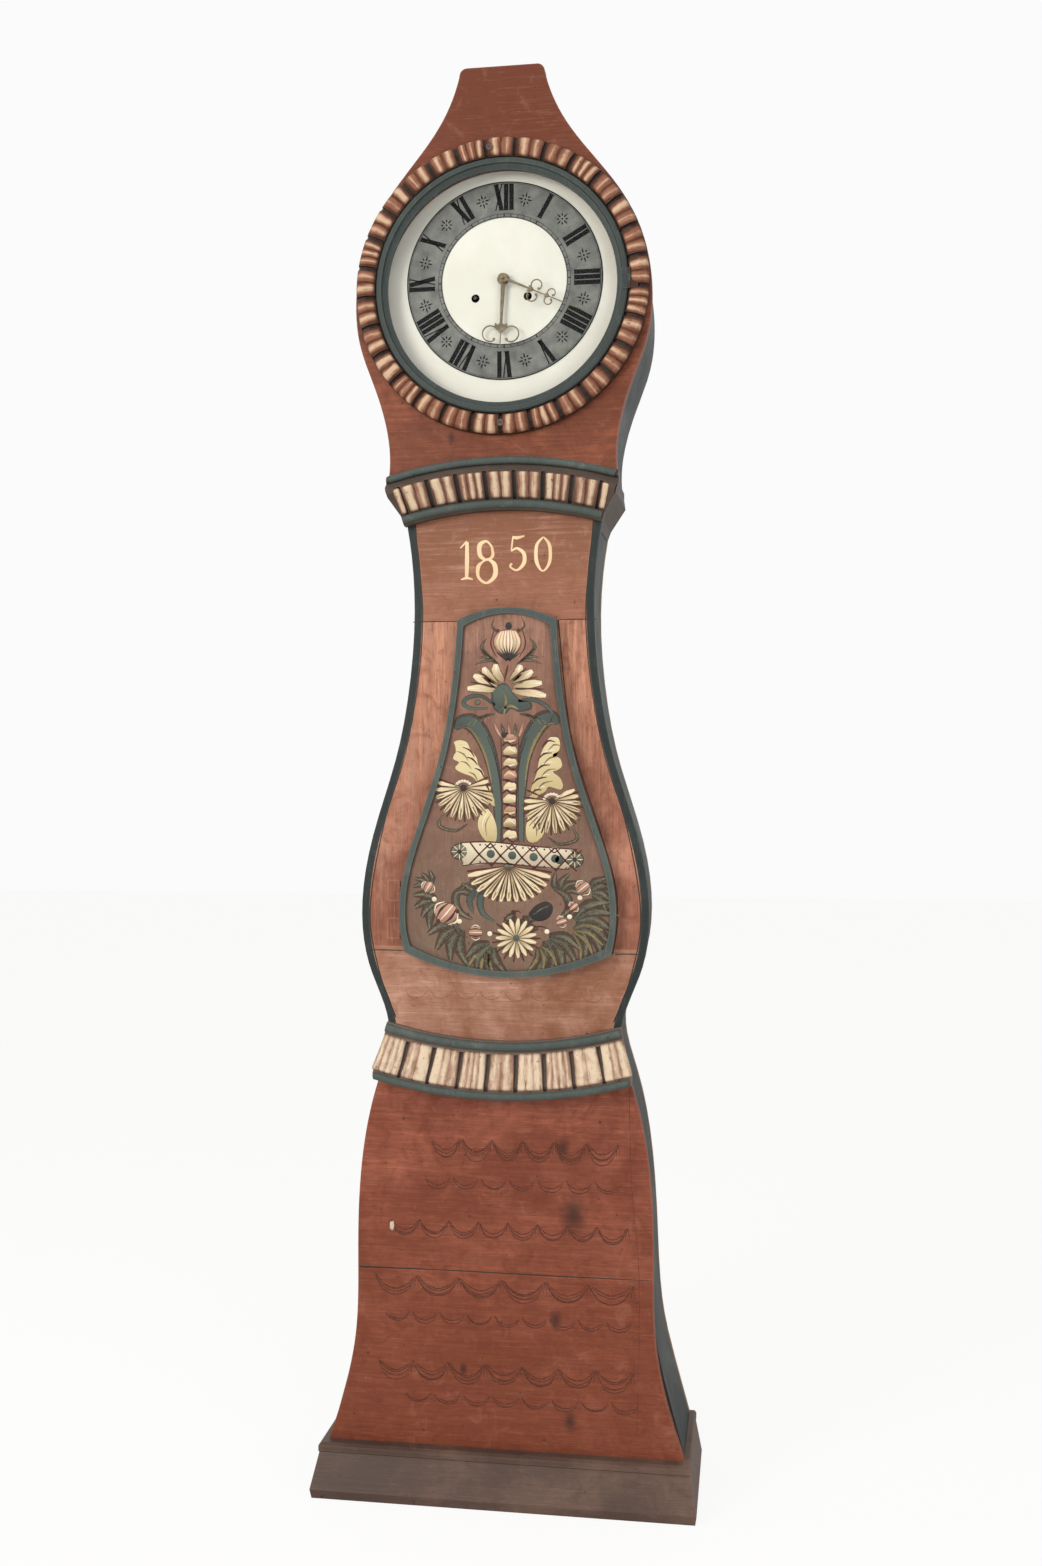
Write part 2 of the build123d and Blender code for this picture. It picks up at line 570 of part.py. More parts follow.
def make_hood():
    """Front board with a round opening, two bent sides and a flat top; it slides off forwards."""
    face = Pos(0, HOOD_GAP) * hood_face(0, HEIGHT - HOOD_GAP, UPPER_RISE)
    opening = Pos(0, BEZEL_Z) * Circle(OPENING_RADIUS)
    front = slab(face - opening, HOOD_FRONT_Y, HOOD_THICK)
    for x, z in screw_places():
        front -= rod_y(x, z, HOOD_FRONT_Y - 1, HOOD_FRONT_Y + 12, SCREW_RADIUS)
    save("hood_front", front.solid())
    body = face & (Pos(0, HOOD_GAP) * hood_face(HOOD_STEP, HEIGHT - HOOD_GAP, 0))
    shell = body - Pos(0, HOOD_GAP) * hood_face(HOOD_STEP + HOOD_SIDE_THICK, HEIGHT + 5, 0)
    shell &= band(NECK_Z + HOOD_GAP, HEIGHT - CROWN_THICK)
    sides = slabs(shell, HOOD_BOARD_BACK, HOOD_BACK_Y - HOOD_BOARD_BACK)
    save("hood_side_left", sides.sort_by(Axis.X)[0])
    save("hood_side_right", sides.sort_by(Axis.X)[-1])
    crown = body & band(HEIGHT - CROWN_THICK, HEIGHT)
    save("crown_top", slab(crown, HOOD_BOARD_BACK, HOOD_BACK_Y - HOOD_BOARD_BACK))


def screw_places():
    """Upper and lower screw of the carved ring; the upper one sits a little left of the middle."""
    lean = math.radians(4.5)
    upper = (-SCREW_CIRCLE * math.sin(lean), BEZEL_Z + SCREW_CIRCLE * math.cos(lean))
    lower = (0, BEZEL_Z - SCREW_CIRCLE)
    return [upper, lower]


def make_bezel_ring():
    """Carved and fluted ring round the dial door."""
    y = HOOD_FRONT_Y
    profile = [
        (BEZEL_INNER, y), (BEZEL_OUTER, y), (BEZEL_OUTER, y - 8), (BEZEL_OUTER - 4, y - 14),
        (BEZEL_OUTER - 13, y - 17), (BEZEL_INNER + 4, y - 15), (BEZEL_INNER, y - 12),
    ]
    ring = turned_y(0, BEZEL_Z, profile)
    turns = [(i + 0.5) * 360 / BEZEL_GROUPS for i in range(BEZEL_GROUPS)]
    halves = [turn + 180 / BEZEL_GROUPS for turn in turns]
    past_ends = [(BEZEL_OUTER + 5, y - 8), *profile[2:], (BEZEL_INNER - 5, y - 12)]
    surface = [(depth, radius) for radius, depth in past_ends]
    ring -= spokes(BEZEL_Z, surface, GROOVE_DEPTH, turns, GROOVE_WIDTH)
    ring -= spokes(BEZEL_Z, surface, GROOVE_DEPTH / 2, halves, FLUTE_GAP)
    for x, z in screw_places():
        ring -= rod_y(x, z, y - 30, y + 1, SCREW_RADIUS)
        ring -= rod_y(x, z, y - 30, y - 14, 2.1 * SCREW_RADIUS)
    reach = DIAL_HINGE_LENGTH / 2 + HINGE_PLAY
    low, high = BEZEL_Z - reach, BEZEL_Z + reach
    ring -= block(BEZEL_INNER - 5, DIAL_HINGE_X + DIAL_HINGE_RADIUS + 0.3, y - 30,
                  DIAL_HINGE_Y + DIAL_HINGE_RADIUS + 0.3, low, high)
    ring -= block(BEZEL_INNER - 5, DIAL_HINGE_X + 13, y - 30, DIAL_HINGE_Y + 1, low, high)
    save("bezel_ring", ring.solid())
    screws = []
    for x, z in screw_places():
        head = rod_y(x, z, y - 16.5, y - 14, 2 * SCREW_RADIUS)
        head -= block(x - 6, x + 6, y - 18, y - 15.6, z - 0.5, z + 0.5)
        screws.append((head + rod_y(x, z, y - 14, y + 11.5, SCREW_RADIUS)).solid())
    save("bezel_screws", *screws)


def make_dial_door():
    """Round glazed door inside the carved ring, hinged on its right."""
    back, front = DIAL_DOOR_BACK, DIAL_DOOR_FRONT
    rebate = back - GLASS_THICK - 0.3
    ring = turned_y(0, BEZEL_Z, [
        (GLASS_RADIUS + 0.5, back), (DIAL_DOOR_RADIUS, back), (DIAL_DOOR_RADIUS, front + 2),
        (DIAL_DOOR_RADIUS - 2, front), (DIAL_DOOR_RADIUS - 8, front), (DIAL_DOOR_RADIUS - 9.5, front + 4),
        (SIGHT_RADIUS + 4, front + 5), (SIGHT_RADIUS, front + 7), (SIGHT_RADIUS, rebate),
        (GLASS_RADIUS + 0.5, rebate),
    ])
    save("dial_door_ring", ring)
    save("dial_glass", rod_y(0, BEZEL_Z, rebate, rebate + GLASS_THICK, GLASS_RADIUS).solid())
    reach = DIAL_HINGE_LENGTH / 2
    third = DIAL_HINGE_LENGTH / 3
    low, high = BEZEL_Z - reach, BEZEL_Z + reach
    x, y, radius = DIAL_HINGE_X, DIAL_HINGE_Y, DIAL_HINGE_RADIUS
    fixed = block(x, x + 12, y, y + 1, low, high)
    fixed -= block(x - 1, x + radius + 0.4, y - 3, y + 3, low + third - HINGE_PLAY, high - third + HINGE_PLAY)
    fixed += rod_z(x, y, low, low + third, radius) + rod_z(x, y, high - third, high, radius)
    fixed += rod_z(x, y, low, high, HINGE_PIN)
    save("dial_hinge_leaf", fixed.solid())
    plate = block(x - 12, x, front - 1, front, low, high)
    for z0, z1 in ((low - 1, low + third + HINGE_PLAY), (high - third - HINGE_PLAY, high + 1)):
        plate -= block(x - radius - 0.4, x + 1, front - 3, front + 3, z0, z1)
    moving = plate + rod_z(x, y, low + third + HINGE_PLAY, high - third - HINGE_PLAY, radius)
    moving -= rod_z(x, y, low - 1, high + 1, HINGE_PIN + HINGE_PLAY)
    save("dial_door_leaf", moving.solid())


# ---- dial and hands ----------------------------------------------------------------------------
PLATE_BACK_Y = PLATE_FRONT_Y + PLATE_THICK
REAR_PLATE_Y = PLATE_BACK_Y + PLATE_GAP
REAR_PLATE_BACK = REAR_PLATE_Y + PLATE_THICK
DIAL_FEET = [(-62, 66), (62, 66), (-62, -56), (52, -56)]
CENTRE = (0.0, DIAL_Z)
CANNON_RADIUS = 2.8
HOUR_PIPE = 4.6


def make_dial():
    """Painted iron dial on four feet that are riveted to it and pinned in the front plate."""
    plate = turned_y(0, DIAL_Z, [
        (HOUR_PIPE + 1.4, DIAL_FRONT_Y), (DIAL_RADIUS, DIAL_FRONT_Y),
        (DIAL_RADIUS, DIAL_FRONT_Y + DIAL_THICK), (HOUR_PIPE + 1.4, DIAL_FRONT_Y + DIAL_THICK),
    ])
    for x in (GOING_X, STRIKE_X):
        plate -= rod_y(x, DRUM_Z, DIAL_FRONT_Y - 1, DIAL_FRONT_Y + 5, WINDING_HOLE)
    for x, z in DIAL_FEET:
        plate += rod_y(x, DIAL_Z + z, DIAL_FRONT_Y + DIAL_THICK, PLATE_FRONT_Y, 2.5)
    save("dial_plate", plate.solid())
    ring_front = DIAL_FRONT_Y - CHAPTER_THICK
    save("chapter_ring", turned_y(0, DIAL_Z, [
        (CHAPTER_INNER, ring_front), (CHAPTER_OUTER, ring_front),
        (CHAPTER_OUTER, DIAL_FRONT_Y), (CHAPTER_INNER, DIAL_FRONT_Y),
    ]))


def c_scroll(side, radius, offset, at, width):
    """An open round scroll beside the stem of a hand, with a ball on its free end."""
    opening = 52.0
    reach = 1.4 * radius
    corners = [(reach * math.cos(math.radians(a)), reach * math.sin(math.radians(a)))
               for a in (-opening, 0, opening)]
    loop = Circle(radius) - Circle(radius - width) - make_face(Polyline((0, 0), *corners, close=True))
    loop += Rot(0, 0, opening) * Pos(radius - 1.3 * width, 0) * Circle(1.1 * width)
    loop = Pos(-offset, at) * loop
    return loop if side < 0 else mirrored(loop)


def hand(length, half_stem, pairs, eye, bore, front_y, clock_angle):
    """A cut hand: eye, tapering stem, pairs of scrolls that spring from a forked cap, and a fine tip."""
    first = pairs[0][2] - pairs[0][0]
    face = Circle(eye) + make_face(Polyline(
        (-half_stem, 0), (half_stem, 0), (half_stem / 2, first), (0.8, first + 8),
        (0.6, length), (-0.6, length), (-0.8, first + 8), (-half_stem / 2, first), close=True))
    for radius, offset, at, width in pairs:
        low = at - radius
        join = offset - 0.44 * radius
        cap = [(join, low + 0.16 * radius), (join - 0.1 * radius, low - 0.28 * radius),
               (0.45 * join, low - 0.05 * radius), (half_stem / 2, low - 0.3 * radius)]
        right = cap[::-1] + [(join + 0.06 * radius, low + 0.2 * radius), (0.8, low + 0.95 * radius)]
        left = [(-x, z) for x, z in right[::-1]]
        face += make_face(Polyline(*right, *left, close=True))
        for side in (-1, 1):
            face += c_scroll(side, radius, offset, at, width)
    face = Pos(*CENTRE) * Rot(0, 0, -clock_angle) * (face - Circle(bore))
    return slab(face, front_y, 1.2)


def make_hands():
    hour = hand(HOUR_HAND_LENGTH, 3.6, [(12.4, 15.5, 80, 1.9)], 9, HOUR_PIPE - 1.2, -77.2, HOUR_ANGLE)
    save("hour_hand", hour)
    scrolls = [(8.6, 8.6, 51, 1.7), (6.4, 6.2, 76, 1.5)]
    minute = hand(MINUTE_HAND_LENGTH, 2.4, scrolls, 7, CANNON_RADIUS - 0.8, -84.2, MINUTE_ANGLE)
    save("minute_hand", minute)


# ---- movement ----------------------------------------------------------------------------------
GREAT_TEETH, TRAIN_LEAVES = 60, 6
CENTRE_TEETH, THIRD_TEETH, ESCAPE_TEETH = 48, 45, 30
PIN_TEETH = 48
PIN_CIRCLE = 14.8
CANNON_LEAVES, MINUTE_TEETH, MINUTE_LEAVES, HOUR_TEETH = 12, 36, 10, 40

GOING = (GOING_X, DRUM_Z)
STRIKE = (STRIKE_X, DRUM_Z)
GOING_MODULE = 2 * distance(GOING, CENTRE) / (GREAT_TEETH + TRAIN_LEAVES)
STRIKE_MODULE = 1.15
CENTRE_MODULE, THIRD_MODULE, PIN_MODULE = 1.0, 0.9, 0.75
MOTION_MODULE = 0.8


def two_links(start, end, first, second, side):
    """Corner of a triangle with two known sides on the line from start to end."""
    base = distance(start, end)
    along = (first * first + base * base - second * second) / (2 * base)
    across = side * math.sqrt(first * first - along * along)
    ux, uz = (end[0] - start[0]) / base, (end[1] - start[1]) / base
    return start[0] + along * ux + across * uz, start[1] + along * uz - across * ux


ESCAPE = (0.0, DIAL_Z + 42.0)
THIRD = two_links(CENTRE, ESCAPE, (CENTRE_TEETH + TRAIN_LEAVES) * CENTRE_MODULE / 2,
                  (THIRD_TEETH + TRAIN_LEAVES) * THIRD_MODULE / 2, 1)
ANCHOR = (0.0, PENDULUM_PIVOT_Z)
PIN_WHEEL_AT = (STRIKE_X - 9.0,
                DRUM_Z + math.sqrt(((GREAT_TEETH + TRAIN_LEAVES) * STRIKE_MODULE / 2) ** 2 - 81))
FLY_AT = (PIN_WHEEL_AT[0] + 12.0,
          PIN_WHEEL_AT[1] + math.sqrt(((PIN_TEETH + TRAIN_LEAVES) * PIN_MODULE / 2) ** 2 - 144))
MINUTE_DISTANCE = (CANNON_LEAVES + MINUTE_TEETH) * MOTION_MODULE / 2
HOUR_MODULE = 2 * MINUTE_DISTANCE / (MINUTE_LEAVES + HOUR_TEETH)
MINUTE_AT = (-MINUTE_DISTANCE * math.sin(math.radians(40)),
             DIAL_Z + MINUTE_DISTANCE * math.cos(math.radians(40)))
HAMMER_AT = (-20.0, DIAL_Z + 75.0)
PILLARS = [(PLATE_LEFT + 8, SEAT_Z + 8), (PLATE_RIGHT - 8, SEAT_Z + 8),
           (PLATE_LEFT + 8, PLATE_TOP - 30), (PLATE_RIGHT - 8, PLATE_TOP - 8)]

GREAT_Y, GREAT_THICK = PLATE_BACK_Y + 27.5, 3.0
CENTRE_Y, CENTRE_THICK = PLATE_BACK_Y + 33.5, 2.0
THIRD_Y, THIRD_THICK = PLATE_BACK_Y + 13.5, 1.6
ESCAPE_Y, ESCAPE_THICK = PLATE_BACK_Y + 21.5, 1.4
FLY_Y, FLY_WIDTH, FLY_SPAN = PLATE_BACK_Y + 19.8, 12.0, 30.0
MOTION_Y = PLATE_FRONT_Y - 5.0
HOUR_WHEEL_Y = PLATE_FRONT_Y - 8.5


def line_offset():
    """Distance of a hanging line from the axis of its drum."""
    return DRUM_RADIUS + LINE_GAP + LINE_RADIUS


def pulley_line():
    """Distance of a line from the axis of its pulley."""
    return PULLEY_RADIUS + LINE_GAP + LINE_RADIUS


def make_plates():
    outline = Pos((PLATE_LEFT + PLATE_RIGHT) / 2, (SEAT_Z + PLATE_TOP) / 2)
    outline = outline * Rectangle(PLATE_RIGHT - PLATE_LEFT, PLATE_TOP - SEAT_Z)
    pivots = [THIRD, ESCAPE, PIN_WHEEL_AT, FLY_AT, ANCHOR, HAMMER_AT]
    front = slab(outline, PLATE_FRONT_Y, PLATE_THICK)
    back = slab(outline, REAR_PLATE_Y, PLATE_THICK)
    for x, z in pivots:
        front -= rod_y(x, z, PLATE_FRONT_Y - 1, PLATE_BACK_Y + 1, PIVOT + PIVOT_PLAY)
        back -= rod_y(x, z, REAR_PLATE_Y - 1, REAR_PLATE_BACK + 1, PIVOT + PIVOT_PLAY)
    front -= rod_y(*CENTRE, PLATE_FRONT_Y - 1, PLATE_BACK_Y + 1, ARBOR + PIVOT_PLAY)
    back -= rod_y(*CENTRE, REAR_PLATE_Y - 1, REAR_PLATE_BACK + 1, PIVOT + PIVOT_PLAY)
    for x, z in (GOING, STRIKE):
        front -= rod_y(x, z, PLATE_FRONT_Y - 1, PLATE_BACK_Y + 1, DRUM_ARBOR + PIVOT_PLAY)
        back -= rod_y(x, z, REAR_PLATE_Y - 1, REAR_PLATE_BACK + 1, PIVOT * 2 + PIVOT_PLAY)
    front += rod_y(*MINUTE_AT, HOUR_WHEEL_Y - 0.5, PLATE_FRONT_Y, ARBOR)
    save("front_plate", front.solid())
    for x, z in PILLARS:
        back += rod_y(x, z, PLATE_BACK_Y, REAR_PLATE_Y + 1, 4)
    low, top = PENDULUM_PIVOT_Z - 9, PENDULUM_PIVOT_Z
    seat_y = PENDULUM_Y - SUSPENSION_WIDTH / 2 - 3
    arm = block(-9, 9, REAR_PLATE_BACK, PENDULUM_Y + 7, low, top)
    arm -= block(-4, 4, REAR_PLATE_BACK, seat_y, low - 1, top + 1)
    arm -= block(-1, 1, seat_y - 1, PENDULUM_Y + 8, low - 1, top + 1)
    arm -= rod_y(0, PENDULUM_PIVOT_Z, seat_y - 1, PENDULUM_Y + 8, SUSPENSION_PIN + PIVOT_PLAY)
    save("back_plate", (back + arm).solid())


def arbor(at, radius=TRAIN_ARBOR):
    """Arbor between the plates with a pivot at each end."""
    front_end, back_end = PLATE_BACK_Y + 0.4, REAR_PLATE_Y - 0.4
    body = rod_y(*at, front_end, back_end, radius)
    body += rod_y(*at, PLATE_FRONT_Y + 0.2, front_end, PIVOT)
    return body + rod_y(*at, back_end, REAR_PLATE_BACK - 0.2, PIVOT)


def make_great_wheel(name, at, module, pinion_at):
    phase = bearing(at, pinion_at)
    rim = GREAT_TEETH * module / 2 - 4 * module
    face = wheel_face(GREAT_TEETH, module, phase) - crossings(14, rim, 4, 7, phase + 20)
    wheel = placed(face, at, GREAT_Y, GREAT_THICK)
    save(name, (wheel - rod_y(*at, GREAT_Y - 1, GREAT_Y + 5, DRUM_ARBOR + HINGE_PLAY)).solid())


def make_drum(name, at):
    """Line drum on its winding arbor, with the ratchet beside the great wheel."""
    front = PLATE_BACK_Y + 1.0
    back = GREAT_Y - 0.6
    drum = turned_y(*at, [
        (0, front), (DRUM_FLANGE, front), (DRUM_FLANGE, front + 1.5), (DRUM_RADIUS, front + 1.5),
        (DRUM_RADIUS, back - 4.5), (DRUM_FLANGE, back - 4.5), (DRUM_FLANGE, back - 3), (0, back - 3),
    ])
    ratchet = toothed_face(20, 13, 11, 0.1, 0.9, 0)
    drum += placed(ratchet, at, back - 3, 2.4)
    drum += rod_y(*at, PLATE_FRONT_Y - 1, REAR_PLATE_Y - 0.4, DRUM_ARBOR)
    drum += rod_y(*at, REAR_PLATE_Y - 0.4, REAR_PLATE_BACK - 0.2, PIVOT * 2)
    square = Pos(at[0], (DIAL_FRONT_Y - 3 + PLATE_FRONT_Y) / 2, at[1])
    drum += square * Box(4.2, PLATE_FRONT_Y - DIAL_FRONT_Y + 3, 4.2)
    save(name, drum.solid())


def make_going_train():
    make_great_wheel("great_wheel_going", GOING, GOING_MODULE, CENTRE)
    make_drum("drum_going", GOING)

    toward = bearing(CENTRE, GOING)
    pinion = pinion_face(TRAIN_LEAVES, GOING_MODULE, toward + 180 / TRAIN_LEAVES)
    body = placed(pinion, CENTRE, GREAT_Y - 0.6, GREAT_THICK + 1.2)
    face = wheel_face(CENTRE_TEETH, CENTRE_MODULE, bearing(CENTRE, THIRD)) - crossings(6, 20.5, 4, 3)
    body += placed(face, CENTRE, CENTRE_Y, CENTRE_THICK)
    body += rod_y(*CENTRE, -88, REAR_PLATE_Y - 0.4, ARBOR)
    body += rod_y(*CENTRE, REAR_PLATE_Y - 0.4, REAR_PLATE_BACK - 0.2, PIVOT)
    save("centre_wheel", body.solid())

    pinion = pinion_face(TRAIN_LEAVES, CENTRE_MODULE, bearing(THIRD, CENTRE) + 180 / TRAIN_LEAVES)
    body = arbor(THIRD) + placed(pinion, THIRD, CENTRE_Y - 0.6, CENTRE_THICK + 1.2)
    face = wheel_face(THIRD_TEETH, THIRD_MODULE, bearing(THIRD, ESCAPE)) - crossings(5, 17, 4, 2.6)
    body += placed(face, THIRD, THIRD_Y, THIRD_THICK)
    save("third_wheel", body.solid())

    pinion = pinion_face(TRAIN_LEAVES, THIRD_MODULE, bearing(ESCAPE, THIRD) + 180 / TRAIN_LEAVES)
    body = arbor(ESCAPE) + placed(pinion, ESCAPE, THIRD_Y - 0.6, THIRD_THICK + 1.2)
    face = toothed_face(ESCAPE_TEETH, 17, 14.2, 0.08, 0.62, 0) - crossings(4.5, 12.4, 4, 2.2)
    body += placed(face, ESCAPE, ESCAPE_Y, ESCAPE_THICK)
    save("escape_wheel", body.solid())


def make_anchor():
    """Anchor with its two pallets, arbor, crutch and the fork that takes the pendulum rod."""
    span = math.radians(52)
    reach = 17 + 2.6
    left = (ESCAPE[0] - reach * math.sin(span), ESCAPE[1] + reach * math.cos(span))
    right = (-left[0], left[1])
    arms = make_face(Polyline((-3, ANCHOR[1] + 3), (left[0] - 2, left[1] + 3), (left[0] - 1, left[1]),
                              (left[0] + 2, left[1] + 0.6), (-2, ANCHOR[1] - 3), (2, ANCHOR[1] - 3),
                              (right[0] - 2, right[1] + 0.6), (right[0] + 1, right[1]),
                              (right[0] + 2, right[1] + 3), (3, ANCHOR[1] + 3), close=True))
    body = slab(arms, ESCAPE_Y - 1, ESCAPE_THICK + 2)
    body += rod_y(*ANCHOR, PLATE_BACK_Y + 0.4, REAR_PLATE_Y - 0.4, ARBOR)
    body += rod_y(*ANCHOR, PLATE_FRONT_Y + 0.2, PLATE_BACK_Y + 0.4, PIVOT)
    crutch_y = REAR_PLATE_BACK + 3
    body += rod_y(*ANCHOR, REAR_PLATE_Y - 0.4, crutch_y + 2, PIVOT)
    fork_z = PENDULUM_PIVOT_Z - 82
    body += block(-1.4, 1.4, crutch_y - 1, crutch_y + 1, fork_z - 1, PENDULUM_PIVOT_Z + 2)
    body += block(-4.6, 4.6, crutch_y - 1, crutch_y + 1, fork_z - 2, fork_z)
    for side in (-1, 1):
        x = side * (ROD_RADIUS + 1.3)
        body += block(x - 0.8, x + 0.8, crutch_y - 1, PENDULUM_Y + 5, fork_z - 2, fork_z)
    save("anchor", body.solid())


def make_motion_work():
    """Cannon pinion, minute wheel and hour wheel, between the front plate and the dial."""
    phase = bearing(CENTRE, MINUTE_AT)
    cannon = placed(pinion_face(CANNON_LEAVES, MOTION_MODULE, phase), CENTRE, MOTION_Y, 2.4)
    cannon += rod_y(*CENTRE, -85.6, MOTION_Y + 4.4, CANNON_RADIUS)
    cannon -= rod_y(*CENTRE, -90, PLATE_FRONT_Y, ARBOR)
    cannon -= rod_y(*CENTRE, -90, -83, CANNON_RADIUS + 1) - rod_y(*CENTRE, -90, -83, CANNON_RADIUS - 0.8)
    save("cannon_pinion", cannon.solid())

    back = bearing(MINUTE_AT, CENTRE)
    face = wheel_face(MINUTE_TEETH, MOTION_MODULE, back + 180 / MINUTE_TEETH)
    wheel = placed(face, MINUTE_AT, MOTION_Y, 1.6)
    pinion = pinion_face(MINUTE_LEAVES, HOUR_MODULE, back + 180 / MINUTE_LEAVES)
    wheel += placed(pinion, MINUTE_AT, HOUR_WHEEL_Y, MOTION_Y - HOUR_WHEEL_Y)
    wheel -= rod_y(*MINUTE_AT, HOUR_WHEEL_Y - 2, PLATE_FRONT_Y, ARBOR + HINGE_PLAY)
    save("minute_wheel", wheel.solid())

    face = wheel_face(HOUR_TEETH, HOUR_MODULE, phase)
    wheel = placed(face, CENTRE, HOUR_WHEEL_Y, 1.8)
    wheel += rod_y(*CENTRE, -79, HOUR_WHEEL_Y + 1.8, HOUR_PIPE)
    wheel -= rod_y(*CENTRE, -90, HOUR_WHEEL_Y + 5, CANNON_RADIUS + HINGE_PLAY)
    wheel -= rod_y(*CENTRE, -90, -76, HOUR_PIPE + 1) - rod_y(*CENTRE, -90, -76, HOUR_PIPE - 1.2)
    save("hour_wheel", wheel.solid())


def make_strike_train():
    make_great_wheel("great_wheel_strike", STRIKE, STRIKE_MODULE, PIN_WHEEL_AT)
    make_drum("drum_strike", STRIKE)

    toward = bearing(PIN_WHEEL_AT, STRIKE)
    pinion = pinion_face(TRAIN_LEAVES, STRIKE_MODULE, toward + 180 / TRAIN_LEAVES)
    body = arbor(PIN_WHEEL_AT) + placed(pinion, PIN_WHEEL_AT, GREAT_Y - 0.6, GREAT_THICK + 1.2)
    face = wheel_face(PIN_TEETH, PIN_MODULE, bearing(PIN_WHEEL_AT, FLY_AT)) - crossings(5.5, 12.6, 4, 2.8)
    body += placed(face, PIN_WHEEL_AT, THIRD_Y, THIRD_THICK)
    for i in range(8):
        angle = math.radians(45 * i + 10)
        x = PIN_WHEEL_AT[0] + PIN_CIRCLE * math.cos(angle)
        z = PIN_WHEEL_AT[1] + PIN_CIRCLE * math.sin(angle)
        body += Pos(x, THIRD_Y + THIRD_THICK + 2, z) * Box(1.8, 4, 1.8)
    save("pin_wheel", body.solid())

    pinion = pinion_face(TRAIN_LEAVES, PIN_MODULE, bearing(FLY_AT, PIN_WHEEL_AT) + 180 / TRAIN_LEAVES)
    body = arbor(FLY_AT, PIVOT) + placed(pinion, FLY_AT, THIRD_Y - 0.6, THIRD_THICK + 1.2)
    body += Pos(FLY_AT[0], FLY_Y + FLY_WIDTH / 2, FLY_AT[1]) * Box(FLY_SPAN, FLY_WIDTH, 1.0)
    save("fly", body.solid())


# ---- bells and hammers ---------------------------------------------------------------------------
BELL_Y = PLATE_BACK_Y + 23.5
BELL_RIM_Z = PLATE_TOP + 12.0
BELLS = [(-46.0, 30.0), (38.0, 27.0)]


def make_bells():
    """Two bells on a bar above the plates, and two hammers on one arbor."""
    shells = []
    bar_z = BELL_RIM_Z + 30
    for x, radius in BELLS:
        shells.append(turned_z(x, BELL_Y, [
            (radius - 2, BELL_RIM_Z), (radius, BELL_RIM_Z), (radius - 3, BELL_RIM_Z + 10),
            (radius - 8, BELL_RIM_Z + 20), (radius - 17, BELL_RIM_Z + 27), (0, BELL_RIM_Z + 30),
            (0, BELL_RIM_Z + 27.5), (radius - 18, BELL_RIM_Z + 24.5), (radius - 10.3, BELL_RIM_Z + 18),
            (radius - 5.2, BELL_RIM_Z + 9),
        ]))
    save("bells", *shells)
    stand = block(BELLS[0][0] - 5, BELLS[1][0] + 5, BELL_Y - 4, BELL_Y + 4, bar_z, bar_z + 4)
    stand += block(-14, -7, BELL_Y - 4, REAR_PLATE_BACK + 3, bar_z, bar_z + 4)
    stand += block(-14, -7, REAR_PLATE_BACK, REAR_PLATE_BACK + 3, PLATE_TOP - 12, bar_z + 4)
    save("bell_stand", stand.solid())
    body = arbor(HAMMER_AT, PIVOT * 1.5)
    for x, radius in BELLS:
        head_x, bend_z = x - radius - 6.5, BELL_RIM_Z - 12
        length = distance(HAMMER_AT, (head_x, bend_z))
        stick = Pos((HAMMER_AT[0] + head_x) / 2, BELL_Y, (HAMMER_AT[1] + bend_z) / 2)
        body += stick * Rot(0, -bearing(HAMMER_AT, (head_x, bend_z)), 0) * Box(length + 1, 2, 2)
        body += block(head_x - 1, head_x + 1, BELL_Y - 1, BELL_Y + 1, bend_z - 1, BELL_RIM_Z + 3)
        body += rod_y(head_x, BELL_RIM_Z + 3, BELL_Y - 4, BELL_Y + 4, 5)
    save("hammers", body.solid())


